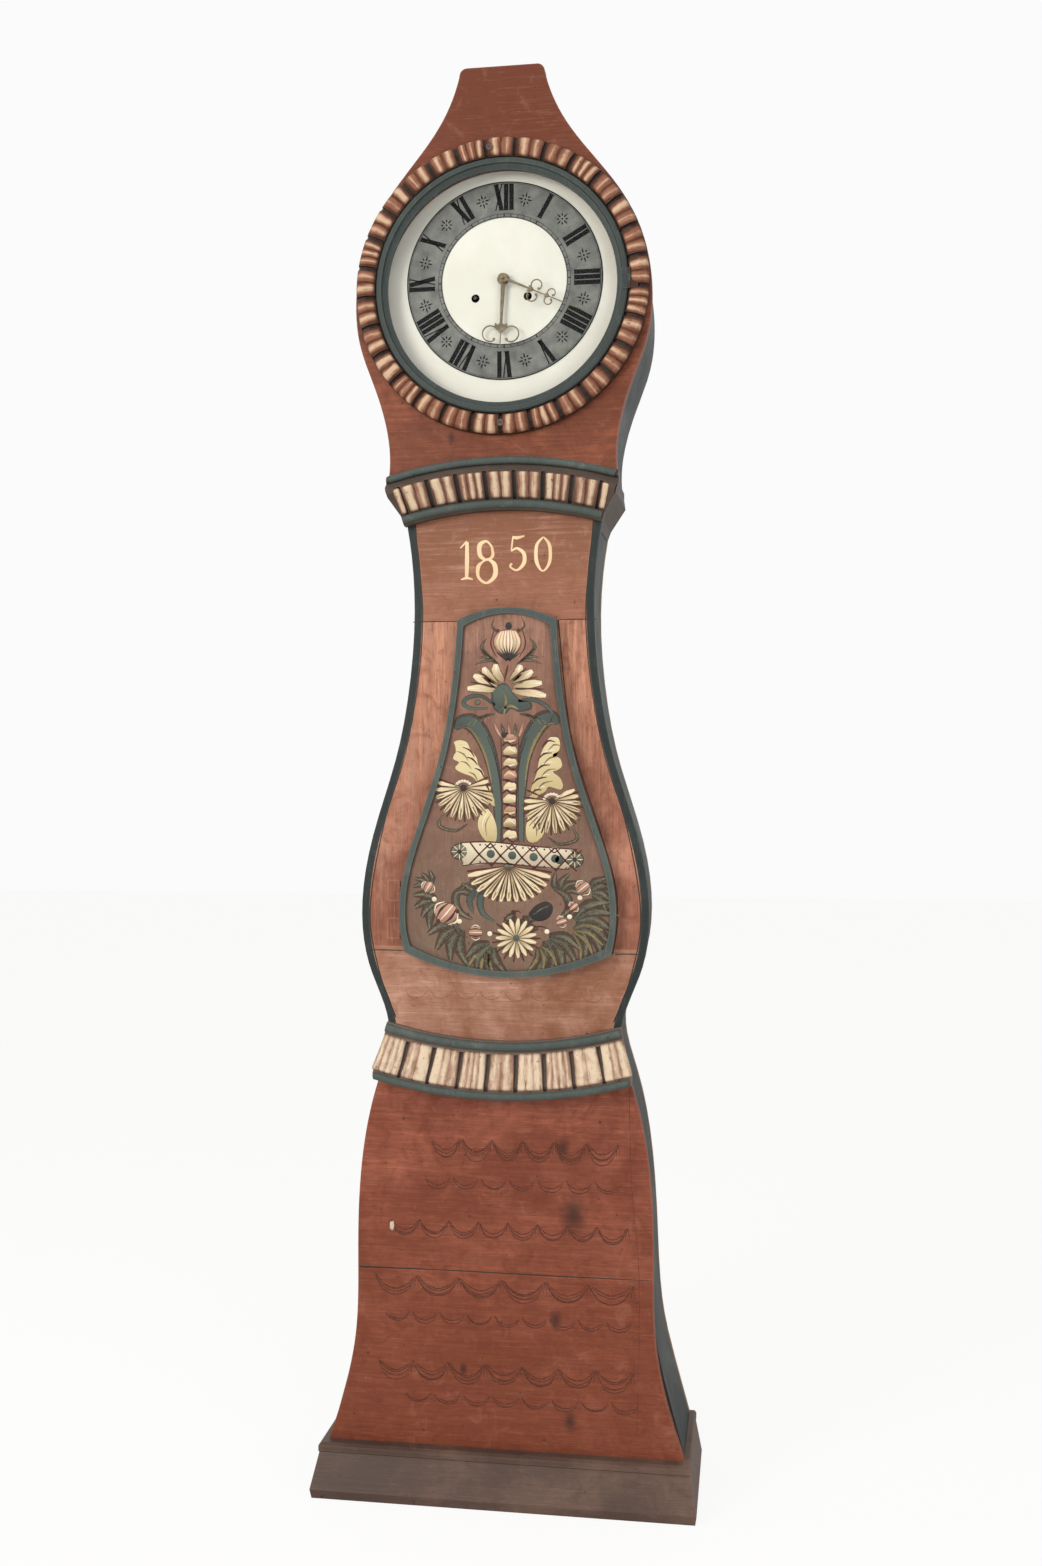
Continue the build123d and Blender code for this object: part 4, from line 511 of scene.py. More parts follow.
class Drawing:
    """Strokes and filled shapes on one upright surface that faces forward."""

    def __init__(self, name, body, face_y, origin, unit, colours):
        self.name, self.body, self.face_y = name, body, face_y
        self.origin, self.unit, self.colours = origin, unit, colours
        self.sheets = {}

    def place(self, point, layer):
        x = self.origin[0] + point[0] * self.unit[0]
        z = self.origin[1] - point[1] * self.unit[1]
        return (x, self.face_y - FIRST_LAYER - LAYER_STEP * layer, z)

    def sheet(self, colour):
        return self.sheets.setdefault(colour, Sheet())

    def stroke(self, colour, points, widths, layer=0, steps=7):
        line = smooth_line(points, steps)
        left, right, uv_left, uv_right = [], [], [], []
        seed = random.randrange(200)
        for i, (u, v) in enumerate(line):
            back, ahead = line[max(i - 1, 0)], line[min(i + 1, len(line) - 1)]
            du, dv = ahead[0] - back[0], ahead[1] - back[1]
            size = math.hypot(du, dv) or 1.0
            share = i / (len(line) - 1) * (len(widths) - 1)
            k = min(int(share), len(widths) - 2)
            half = (widths[k] + (widths[k + 1] - widths[k]) * (share - k)) / 2
            nu, nv = -dv / size * half, du / size * half
            left.append(self.place((u + nu, v + nv), layer))
            right.append(self.place((u - nu, v - nv), layer))
            run = seed + STROKE_RUN * i / (len(line) - 1)
            uv_left.append((run, 0.0))
            uv_right.append((run, 1.0))
        self.sheet(colour).grid([left, right], [uv_left, uv_right])

    def strokes(self, colour, lines, widths, layer=0):
        for line in lines:
            self.stroke(colour, line, widths, layer)

    def filled(self, colour, line, layer):
        """Fill a closed line; its soft rim reaches a quarter of the way to the middle."""
        mean = [sum(p[k] for p in line) / len(line) for k in (0, 1)]
        inner = [(p[0] + 0.25 * (mean[0] - p[0]), p[1] + 0.25 * (mean[1] - p[1])) for p in line]
        rims = [[self.place(p, layer) for p in ring][::-1] for ring in (line, inner)]
        self.sheet(colour).patch(*rims, random.randrange(200))

    def blob(self, colour, points, layer=0, steps=5):
        self.filled(colour, smooth_line(list(points) + [points[0]], steps)[:-1], layer)

    def disc(self, colour, centre, radius, layer=0, tall=1.0):
        turns = [a * math.pi / 9 for a in range(18)]
        self.filled(colour, [(centre[0] + radius * math.cos(a), centre[1] + radius * tall * math.sin(a))
                             for a in turns], layer)

    def fan(self, colour, centre, reach, angles, root, widths, layer):
        """Strokes that spread from a centre; angles are degrees from the right, upwards positive."""
        for k, angle in enumerate(angles):
            far = reach(angle) if callable(reach) else reach
            turn = math.radians(angle)
            points = [(centre[0] + radius * math.cos(turn), centre[1] - radius * math.sin(turn))
                      for radius in (root, (root + far) / 2, far)]
            self.stroke(colour, points, widths, layer + 0.1 * (k % 3))

    def report(self, part):
        """Print a part's name and the faces drawn so far."""
        print(part, "drawn; faces so far:", sum(len(sheet.faces) for sheet in self.sheets.values()))

    def finish(self):
        for colour, sheet in self.sheets.items():
            material, slot = self.colours[colour]
            sheet.build(f"{self.name}_{colour}", material, self.body, slot)
        print(self.name, {c: len(s.faces) for c, s in self.sheets.items()})


print("paint starts", FIRST_LAYER, "mm in front of the wood; layers are", LAYER_STEP, "mm apart")

# %% [markdown]
# ## Hand-laid oil colour
#
# A loaded brush leaves oil colour that is full in the middle of a stroke, soft and broken at its
# edges, and another shade where it was lifted. So the colour runs from the root to the tip of each
# stroke, and where streaks and grain thin it out the ground shows through.


# %% Paint of the strokes
def brush_paint(name, root, tip, cover=0.4, soft=0.2, rough=0.5):
    """Colour from root to tip; a higher cover number leaves more of the ground in sight."""
    made, add = new_material(name)
    run, side = [add("SeparateXYZ", (add("TexCoord", out="UV"),), out=axis) for axis in (0, 1)]
    streak = pattern(add, (0.7692, 0.25, 1.0), 4.0, 0.6, coords="UV")
    grain = pattern(add, 4.76, 4.0, 0.65)
    along = add("Math", (run,), operation="FRACT")
    tone = total(add, along, (streak, 0.8), (own_value(add, run), 0.35))
    tone = lay(add, rgb(root), tip, tone, 0.45, 1.3)
    paint = add("BsdfPrincipled", {"Base Color": tone, "Roughness": rough, "Specular IOR Level": 0.3})
    body = add("MapRange", (apart(add, side, 0.5), 0.5, 0.5 - soft))
    body = total(add, body, (streak, 0.9), (grain, 0.9))
    there = add("MapRange", (body, cover + 0.5, cover + 1.0))
    add("OutputMaterial", (add("MixShader", (there, add("BsdfTransparent"), paint)),))
    return made


PAINTS = {
    "cream": (brush_paint("cream strokes", "#77603f", "#cdbc97", 0.56), "carved_paint"),
    "straw": (brush_paint("straw strokes", "#a08a5c", "#c6b68c", 0.56, 0.15), "carved_paint"),
    "white": (brush_paint("white strokes", "#b7a180", "#dcd0b8", 0.78, 0.3), "carved_paint"),
    "chalk": (brush_paint("chalk strokes", "#8d7d68", "#c9bda4", 0.62, 0.15), "carved_paint"),
    "pink": (brush_paint("pink strokes", "#74493b", "#af8672", 0.70, 0.25), "carved_paint"),
    "olive": (brush_paint("olive strokes", "#4c4630", "#7a6e4a", 0.88, 0.35), "carved_paint"),
    "leaf": (brush_paint("green strokes", "#2d3532", "#475149", 0.60, 0.3), "pine_green"),
    "smoke": (brush_paint("grey green strokes", "#403f34", "#686552", 0.96, 0.4), "pine_green"),
    "oxide": (brush_paint("dark red strokes", "#35150d", "#461e14", 0.58), "pine_red"),
    "black": (brush_paint("black strokes", "#191414", "#292320", 0.58), "hand_black"),
}
print("paints:", ", ".join(PAINTS))

# %% [markdown]
# ## The flower painting on the waist door
#
# From the top down: a seed head, a crown of petals over a dark knot, two tall leaves with scalloped
# cream inner leaves beside a patterned post, two half rosettes, a lattice band, a hanging fan and a
# garland of buds and comma leaves. An image laid on the panel would be quicker, but strokes with
# their own place, width and layer stay crisp from near by and lie over one another as paint does.

# %% The door's drawing
UNIT_U, UNIT_V = 1.505, 1.459
MID_U, MID_V = 508, 790
door = Drawing("flowers", "waist_door", -88.3, (8.9 - MID_U * UNIT_U, 1043.4 + MID_V * UNIT_V),
               (UNIT_U, UNIT_V), PAINTS)
print("one drawing unit:", UNIT_U, "by", UNIT_V, "mm")

# %% [markdown]
# ### Seed head
#
# A round pale head with upright ribs, between curled dark sepals and a spray of thin grey leaves.


# %% Seed head
def seed_head():
    for side in (-1, 1):
        for k in range(5):
            spray = [(9 + k, 664 - k), (18 + 2 * k, 660 - 3 * k), (33 - 3 * k, 664 - 6.5 * k)]
            door.stroke("smoke", [(MID_U + side * u, v) for u, v in spray], (1.0, 4.2, 0.6), 1)
        for colour, sepal, widths in (("oxide", ((11, 657), (17, 644), (13, 627)), (0.6, 1.5, 0.5)),
                                      ("smoke", ((10, 632), (16, 626), (13, 617)), (2.4, 2.2, 0.4))):
            door.stroke(colour, [(MID_U + side * u, v) for u, v in sepal], widths, 5)
        door.disc("oxide", (MID_U + side * 10, 630), 1.5, 6)
    door.blob("pink", [(493, 644), (495, 635), (501, 630), (508, 629), (515, 630), (520, 636), (521, 645),
                       (516, 654), (508, 657), (499, 654)], 2)
    for k in range(-3, 4):
        rib = [(MID_U + 1.6 * k, 655), (MID_U + 3.5 * k, 643), (MID_U + 2.2 * k, 631)]
        door.stroke("white" if abs(k) < 2 else "cream", rib, (0.8, 3.6, 1.4), 3)
    door.fan("black", (MID_U, 661), 15, range(35, 150, 12), 1, (2.6, 2.0, 0.3), 4)
    door.disc("black", (MID_U + 0.5, 626), 3.4, 5, 1.2)


seed_head()
door.report("seed head")

# %% [markdown]
# ### Petal crown
#
# Eight cream petals rise from a green knot. Each has a fine white light along it, and a dark red
# line between it and the next.


# %% Petal crown
def petal_crown():
    crown = ((498, 684, 484, 667), (497, 687, 474, 675), (498, 690, 468, 688), (504, 682, 496, 664),
             (509, 682, 520, 665), (511, 684, 532, 671), (513, 688, 541, 683), (512, 691, 545, 696))
    for u, v, far_u, far_v in crown:
        middle = ((u + far_u) / 2 + 0.2 * (v - far_v) * (-1 if far_u < 505 else 1), (v + far_v) / 2 - 1)
        door.stroke("cream", [(u, v), middle, (far_u, far_v)], (2.5, 9.5, 9.0, 4.5), 2)
        door.stroke("white", [middle, (far_u, far_v)], (0.8, 4.5, 2.0), 3)
    for (u, v, far_u, far_v), after in zip(crown, crown[1:]):
        door.stroke("oxide", [(u, v), ((far_u + after[2]) / 2, (far_v + after[3]) / 2)],
                    (0.6, 1.6, 2.2, 0.7), 4)
    door.blob("leaf", [(491, 693), (499, 684), (507, 684), (513, 693), (521, 700), (530, 702), (531, 709),
                       (519, 712), (511, 709), (505, 714), (497, 712), (492, 704)], 5)
    door.strokes("leaf", [[(495, 705), (482, 696), (469, 697), (464, 703), (472, 708), (488, 708)],
                          [(518, 701), (533, 700), (545, 706), (552, 714)]], (3, 4.5, 4.5, 2), 5)
    door.strokes("olive", [[(503, 688), (506, 700), (504, 714)], [(500, 710), (510, 706), (518, 709)]],
                 (1.5, 6.0, 2.5), 6)
    door.disc("smoke", (478, 702), 3.2, 5)
    for side in (-1, 1):
        for k in range(3):
            beard = [(12 + 5 * k, 714 + k), (22 + 6 * k, 716 + 2 * k), (27 + 7 * k, 724 + 2 * k)]
            door.stroke("smoke", [(507 + side * u, v) for u, v in beard], (1, 4.0, 0.5), 4)


petal_crown()
door.report("petal crown")

# %% [markdown]
# ### Tall leaves
#
# A long green leaf stands on each side, with a scalloped straw-coloured leaf inside its curve and a
# drop at its foot. The painter didn't mirror them, so each side has its own lines.

# %% Lines of the tall leaves
LEAVES = {
    -1: {"band": [(456, 729), (462, 722), (473, 723), (483, 736), (491, 757), (496, 782), (498, 810),
                  (498, 842)],
         "inner": [(454, 741), (460, 739), (467, 741), (471, 749), (477, 757), (479, 765), (484, 772),
                   (486, 781), (490, 789), (494, 797), (495, 807), (488, 801), (482, 790), (474, 778),
                   (462, 773), (455, 768), (459, 762), (453, 758), (456, 750)],
         "commas": [[(463, 747), (470, 750), (475, 757)], [(467, 757), (473, 759), (478, 765)],
                    [(475, 768), (481, 771), (485, 779)], [(481, 781), (486, 784), (490, 792)]],
         "drop": [(488, 808), (493, 815), (497, 828), (496, 842), (488, 843), (480, 833), (478, 822),
                  (482, 812)],
         "shine": [(484, 834), (483, 822), (488, 812)]},
    1: {"band": [(557, 724), (551, 718), (541, 721), (531, 736), (524, 757), (521, 782), (520, 810),
                 (521, 842)],
        "inner": [(549, 738), (555, 736), (559, 740), (558, 750), (552, 754), (559, 758), (561, 766),
                  (556, 770), (552, 772), (559, 778), (562, 786), (559, 790), (548, 787), (544, 792),
                  (538, 796), (533, 802), (529, 809), (528, 800), (531, 786), (536, 772), (538, 760),
                  (542, 748)],
        "commas": [[(541, 747), (547, 741), (554, 742)], [(537, 760), (543, 754), (551, 753)],
                   [(534, 773), (541, 766), (549, 765)], [(531, 785), (537, 779), (546, 777)],
                   [(529, 796), (535, 790), (541, 790)]],
        "drop": [(530, 810), (538, 816), (543, 824), (543, 834), (536, 842), (528, 842), (525, 832),
                 (527, 818)],
        "shine": [(539, 834), (538, 824), (531, 814)]},
}
print("points round the scalloped leaves:", [len(parts["inner"]) for parts in LEAVES.values()])


# %% Tall leaves
def moved(line, by_u, by_v):
    """The same line, drawn a little further along."""
    return [(u + by_u, v + by_v) for u, v in line]


def tall_leaf(side):
    band, commas, shine = [LEAVES[side][part] for part in ("band", "commas", "shine")]
    door.stroke("leaf", band, (4, 15, 19, 17, 14, 12, 9, 6), 3)
    door.stroke("olive", moved(band[1:-2], side * 3.5, 5), (1, 5, 6, 4, 1), 4)
    door.stroke("black", moved(band[3:], -side * 4, 0), (0.5, 1.6, 1.6, 0.6), 4)
    door.blob("straw", LEAVES[side]["inner"], 5, 4)
    door.strokes("olive", [moved(line, side * 6, 4) for line in commas], (0.8, 3.0, 0.8), 6)
    door.strokes("white", [moved(line, side * 3, -3) for line in commas], (0.6, 2.6, 0.6), 6)
    door.strokes("oxide", commas, (0.6, 2.4, 0.8), 7)
    door.blob("straw", LEAVES[side]["drop"], 6)
    door.stroke("white", shine, (1, 4.0, 1), 7)
    door.stroke("olive", moved(shine, -side * 3, 2), (0.8, 2.0, 0.6), 7)


tall_leaf(-1)
tall_leaf(1)
door.report("tall leaves")

# %% [markdown]
# ### Post
#
# The stem in the middle is a stack of nine cream and pink scallops between two thin lines, with a
# few short leaves at its top.


# %% Post
def post():
    door.strokes("oxide", [[(501, 736), (501.5, 790), (501, 843)], [(518.5, 736), (518, 790), (518.5, 843)]],
                 (0.8, 1.1, 0.8), 5)
    for k in range(9):
        v = 739 + 12 * k
        side = 1 if k % 2 else -1
        door.blob("cream" if k % 3 else "pink", [(503, v), (508, v - 5), (515, v - 4), (517, v + 2),
                                                 (511, v + 4), (504, v + 4)], 4)
        door.stroke("white" if k % 3 else "straw", [(504, v + 1), (509, v - 2.5 * side), (515, v + 1)],
                    (0.8, 2.8, 0.8), 5)
        door.stroke("oxide", [(502, v + 6 - side), (507, v + 4 + side), (512, v + 7), (518, v + 5 + side)],
                    (1.2, 2.4, 2.0, 0.8), 6)
        door.disc("oxide", (510 + 3 * side, v - 6), 1.1, 6)
    for k in range(5):
        door.stroke("smoke" if k % 2 else "pink", [(494 + 7 * k, 722 + k % 2), (497 + 6 * k, 730),
                                                   (502 + 4 * k, 738)], (0.8, 4.0, 0.8), 5)
    door.disc("black", (504, 735), 3.0, 6)


post()
door.report("post")

# %% [markdown]
# ### Half rosettes
#
# Fourteen petals hang in a fan from a dark eye with a ring of white dots. Olive strokes on the
# petals and dark red ones between them give the fan its depth.


# %% Half rosettes
def half_rosette(centre, side):
    def reach(angle, longest):
        return longest - 5 * math.sin(math.radians(angle))

    gaps = [-200 + 16 * k for k in range(15)]
    if side > 0:
        gaps = [180 - a for a in gaps]
    petals = [a + 8 for a in gaps[:-1]]
    door.fan("cream", centre, lambda a: reach(a, 27), petals, 3, (1.0, 4.6, 6.0, 2.5), 7)
    door.fan("olive", centre, lambda a: reach(a, 30), petals[2:-2], 14, (0.5, 2.4, 3.0, 1.0), 8)
    door.fan("white", centre, 21, petals[::2], 6, (0.8, 2.2, 0.8), 9)
    door.fan("oxide", centre, lambda a: reach(a, 29), gaps, 3, (0.7, 1.0, 2.3, 1.6), 10)
    for k in range(7):
        turn = math.radians(40 + 20 * k)
        door.disc("white", (centre[0] + 8 * math.cos(turn), centre[1] - 7 * math.sin(turn)), 1.7, 9)
    door.disc("black", centre, 3.4, 11)
    hook = [(-4, 36), (8, 43), (24, 38), (20, 26)]
    door.stroke("smoke", [(centre[0] + side * u, centre[1] + v) for u, v in hook], (1, 3.5, 4, 1), 4)


half_rosette((464, 788), -1)
half_rosette((551, 801), 1)
door.report("half rosettes")

# %% [markdown]
# ### Lattice band
#
# A chalky band crosses below the leaves, with five crossed squares, dots between them, and a small
# rosette on each end.


# %% Lattice band
def lattice():
    edge_low = [(463, 866), (492, 863), (530, 866), (567, 869)]
    edge_high = [(461, 843), (490, 842), (530, 846), (573, 849)]
    door.blob("chalk", edge_high + edge_low[::-1], 7, 2)
    door.strokes("oxide", [edge_low, edge_high], (1.0, 1.6, 1.6, 1.0), 10)
    for k in range(5):
        u = 470 + 21 * k
        v = 842 + 1.4 * k
        door.stroke("oxide", [(u, v), (u + 10, v + 13), (u + 21, v + 23)], (1.6, 2.2, 1.6), 9)
        door.stroke("oxide", [(u, v + 23), (u + 11, v + 11), (u + 21, v + 1)], (2.2, 1.5, 2.0), 9)
        door.stroke("oxide", [(u + 15, v + 2), (u + 20, v + 6), (u + 26, v + 2)], (0.8, 1.8, 0.8), 9)
        door.disc("leaf", (u + (21 if k < 4 else 4), v + 12), 4.4, 8)
        for drop in (3, 20):
            door.disc("oxide", (u + 10.5, v + drop), 1.0, 9)
    for spot in ((460, 852), (573, 859)):
        door.disc("smoke", spot, 9, 8, 0.95)
        door.fan("white", spot, 8, range(0, 360, 45), 2, (0.6, 1.3, 0.4), 9)
        door.disc("black", spot, 2.4, 10)


lattice()
door.report("lattice band")

# %% [markdown]
# ### Hanging fan
#
# Thirteen broad petals hang below the band, longest at the sides.


# %% Hanging fan
def hanging_fan():
    def reach(angle):
        return 35 + 7 * abs(math.cos(math.radians(angle)))

    spot = (509, 866)
    gaps = [-172 + 12.6 * k for k in range(14)]
    petals = [a + 6 for a in gaps[:-1]]
    door.fan("cream", spot, reach, petals, 4, (1.2, 5.0, 7.5, 3.0), 6)
    door.fan("olive", spot, lambda a: reach(a) - 2, petals[1:-1], 16, (0.6, 2.6, 3.2, 1.0), 7)
    door.fan("white", spot, lambda a: reach(a) - 8, petals[::2], 10, (0.8, 2.6, 0.8), 8)
    door.fan("oxide", spot, reach, gaps, 4, (0.8, 1.2, 2.6, 1.8), 9)
    door.disc("smoke", spot, 5.5, 10, 0.7)


hanging_fan()
door.report("hanging fan")

# %% [markdown]
# ### Garland
#
# Sprays of comma leaves swing round the foot of the door, with buds, berries and one full flower in
# the middle. A spray turns its leaves a little from one to the next, and each is its own length.


# %% Comma leaves and buds
def comma_leaves(colour, centre, first, last, count, length, width, bend):
    """Leaves whose angles go from first to last, each bent on its way by the same angle."""
    for k in range(count):
        angle = first + (last - first) * k / max(1, count - 1)
        size = length * random.uniform(0.85, 1.1)
        points = []
        for reach, turn in ((4.0, 0.0), (size * 0.55, 0.4), (size, 1.0)):
            a = math.radians(angle + bend * turn)
            points.append((centre[0] + reach * math.cos(a), centre[1] - reach * math.sin(a)))
        door.stroke(colour, points, (width * 0.5, width, width * 0.3), 3 + 0.2 * k)


def bud(centre, size, turn, dark):
    """A pink bud with light and dark ribs along the turn, in degrees."""
    door.disc("pink", centre, size, 6, 0.92)
    a = math.radians(turn)
    across = (-math.sin(a), -math.cos(a))
    for k in range(5):
        lean = (k - 2) * 0.36 * size
        reach = math.sqrt(max(0.1, size ** 2 - lean ** 2))
        ends = [(centre[0] + across[0] * lean + s * reach * math.cos(a) * 0.95,
                 centre[1] + across[1] * lean - s * reach * math.sin(a) * 0.95) for s in (-1, 0, 1)]
        ends[1] = (ends[1][0] + across[0] * lean * 0.5, ends[1][1] + across[1] * lean * 0.5)
        door.stroke("white" if k % 2 == 0 else dark, ends, (0.6, size * 0.26, 0.5), 7)


SPRAYS = (("smoke", (440, 903), 140, 225, 4, 26, 11, 25), ("smoke", (464, 927), 165, 250, 4, 38, 13, 28),
          ("smoke", (494, 944), 180, 265, 4, 32, 12, 28), ("olive", (490, 950), 195, 260, 3, 26, 7, 25),
          ("smoke", (570, 922), -40, 60, 6, 44, 13, -30), ("olive", (568, 930), -45, 30, 4, 36, 7, -28),
          ("smoke", (586, 893), -10, 75, 4, 26, 9, -35), ("smoke", (544, 936), -80, 10, 5, 40, 12, -28),
          ("olive", (536, 944), -80, -20, 3, 30, 7, -28), ("smoke", (430, 888), 60, 150, 4, 18, 7, 30),
          ("smoke", (474, 900), 20, 120, 4, 22, 8, 40), ("smoke", (560, 893), 30, 140, 4, 22, 8, -35),
          ("smoke", (520, 915), 180, 330, 5, 22, 8, 30))
BUDS = (((447, 914), 12, 50, "black"), ((476, 933), 7, 0, "black"), ((429, 888), 6.5, 60, "leaf"),
        ((560, 921), 5.5, 20, "black"), ((581, 887), 7.5, 40, "leaf"), ((572, 906), 5, 40, "oxide"))
print("sprays:", len(SPRAYS), "buds:", len(BUDS))


# %% Garland
def garland():
    for spray in SPRAYS:
        comma_leaves(*spray)
    door.strokes("smoke", [[(472, 882), (457, 895), (459, 911), (473, 920)],
                           [(552, 888), (565, 896), (567, 909), (556, 919)]], (2, 9, 9, 2), 3)
    door.strokes("leaf", [[(491, 884), (481, 898), (483, 913), (495, 922)],
                          [(479, 888), (470, 900), (474, 914)]], (2, 8, 6, 1), 4)
    door.blob("black", [(528, 913), (535, 905), (545, 901), (552, 906), (549, 916), (540, 921),
                        (531, 919)], 5)
    door.stroke("smoke", [(532, 915), (540, 909), (548, 905)], (0.8, 4, 0.8), 6)
    for row in BUDS:
        bud(*row)
    for spot in ((435, 900), (460, 922), (568, 916), (578, 897), (546, 931), (490, 934)):
        door.disc("white", spot, 2.7, 8)
    for spot in ((439, 922), (458, 912), (566, 907), (513, 912)):
        door.disc("oxide", spot, 2.2, 8)
    door.strokes("oxide", [[(453, 924), (458, 934), (468, 938)], [(528, 930), (538, 926), (547, 928)],
                           [(512, 918), (516, 911), (521, 913)]], (0.5, 1.8, 0.5), 7)


def full_flower(spot):
    petals = range(12, 360, 24)
    door.fan("cream", spot, 20, petals, 3, (1.0, 4.6, 5.0, 1.8), 7)
    door.fan("olive", spot, 22, range(190, 350, 24), 10, (0.6, 2.2, 2.2, 0.8), 8)
    door.fan("white", spot, 17, petals[::2], 4, (0.8, 2.6, 0.8), 9)
    door.fan("oxide", spot, 24, range(0, 360, 24), 4, (0.6, 0.9, 2.2, 1.4), 10)
    door.disc("leaf", spot, 3.4, 11)


garland()
full_flower((516, 938))
door.finish()

# %% [markdown]
# ## The painted year
#
# Four brush-drawn figures on the top rail, in a pale cream oil colour. A font would look printed, so
# each figure is a list of strokes in a box one unit high. Each stroke has its own layer, so that
# crossings stay clean.

# %% Figures of the year
FIGURES = {
    "1": [([(-0.12, 0.16), (0.02, 0.02), (0.06, 0.0)], (0.03, 0.06, 0.1)),
          ([(0.06, 0.0), (0.06, 0.5), (0.05, 0.97)], (0.1, 0.13, 0.1)),
          ([(-0.1, 0.99), (0.05, 0.95), (0.22, 0.99)], (0.03, 0.08, 0.03))],
    "8": [([(0.33, 0.14), (0.2, 0.01), (0.04, 0.1), (0.05, 0.34), (0.2, 0.45), (0.35, 0.36), (0.33, 0.14)],
           (0.05, 0.06, 0.13, 0.12, 0.06, 0.09, 0.06)),
          ([(0.1, 0.5), (0.24, 0.44), (0.4, 0.58), (0.4, 0.84), (0.2, 1.0), (0.01, 0.86), (0.0, 0.62),
            (0.1, 0.5)], (0.05, 0.06, 0.13, 0.13, 0.06, 0.08, 0.12, 0.05))],
    "5": [([(0.06, 0.02), (0.2, 0.05), (0.42, 0.0)], (0.06, 0.12, 0.04)),
          ([(0.08, 0.02), (0.05, 0.24), (0.03, 0.44)], (0.05, 0.06, 0.05)),
          ([(0.03, 0.44), (0.2, 0.36), (0.4, 0.52), (0.4, 0.8), (0.2, 1.0), (0.0, 0.9), (0.04, 0.8)],
           (0.04, 0.08, 0.13, 0.14, 0.07, 0.06, 0.09))],
    "0": [([(0.22, 0.0), (0.02, 0.25), (0.02, 0.72), (0.2, 1.0), (0.4, 0.74), (0.4, 0.26), (0.22, 0.0)],
           (0.04, 0.11, 0.13, 0.05, 0.11, 0.12, 0.04))],
}
FRONT_Y = -74.0
gilt = brush_paint("gilt strokes", "#e0c7a0", "#d2b58c", 0.35, 0.1)
year = Drawing("year", "case", FRONT_Y, (-64.0, 1412.0), (1.0, 1.0), {"gilt": (gilt, "carved_paint")})
for digit, left, top, tall in (("1", 6, 3, 56), ("8", 26, 2, 62), ("5", 74, -4, 50), ("0", 112, -2, 50)):
    for k, (points, widths) in enumerate(FIGURES[digit]):
        points = [(left + u * tall, top + v * tall) for u, v in points]
        year.stroke("gilt", points, [w * tall * 0.9 for w in widths], k)
year.finish()

# %% [markdown]
# ## Faint festoons on the case
#
# Rows of hanging arcs in a thin, darker glaze, as a graining comb leaves them: a few lines side by
# side, and a small dash where two arcs meet. They are low in contrast, as the glaze is worn. A wave
# in the shader could draw them, but loose rows with gaps are easier to place as strokes.

# %% Glazes
glaze = brush_paint("thin glaze", "#43200f", "#562a1c", 0.86, 0.4, 0.45)
thin = brush_paint("thinner glaze", "#74472f", "#84543f", 0.98, 0.45, 0.45)
line = brush_paint("dark outline", "#1f1a17", "#2b221d", 0.75, 0.15, 0.6)
chip = brush_paint("pale chip", "#a8917f", "#c4b09c", 1.0, 0.3, 0.6)
combed = Drawing("festoons", "case", FRONT_Y, (0.0, 0.0), (1.0, -1.0),
                 {"glaze": (glaze, "pine_red"), "thin": (thin, "pine_red"), "line": (line, "pine_green"),
                  "chip": (chip, "carved_paint")})
print("glazes:", ", ".join(combed.colours))


# %% Rows of festoons
COMB_TOOTH = 4.0


def festoon(z, left, right, pitch, drop, lines=3, tick=True, colour="glaze"):
    """A row of hanging arcs drawn with a comb of several teeth, and a small dash between two arcs."""
    count = max(1, round((right - left) / pitch))
    step = (right - left) / count
    for k in range(count):
        start = left + k * step
        sway = random.uniform(-2, 2)
        for n in range(lines):
            low = z - drop * random.uniform(0.85, 1.05) + COMB_TOOTH * n
            end = z + COMB_TOOTH / 2 * n
            points = [(start + 2, end + sway), (start + step * 0.22, low + drop * 0.25),
                      (start + step * 0.5, low), (start + step * 0.78, low + drop * 0.25),
                      (start + step - 2, end - sway)]
            combed.stroke(colour, points, (1.0, 2.8, 3.4, 2.8, 1.0), n)
        if tick:
            tip = start + step
            combed.stroke(colour, [(tip - 3, z - drop * 0.5), (tip, z + 5), (tip + 3, z - drop * 0.5)],
                          (1.0, 3.2, 1.0), 3)


for row in ((523, -110, 168, 46, 26, 4), (470, -120, 175, 40, 16, 2, False), (402, -170, 182, 44, 20),
            (318, -195, 190, 60, 26, 4), (268, -180, 190, 40, 14, 2, False), (192, -190, 190, 52, 24, 4),
            (150, -150, 200, 42, 14, 2, False), (748, -150, 150, 38, 14, 1, False, "thin")):
    festoon(*row)
combed.report("festoons")
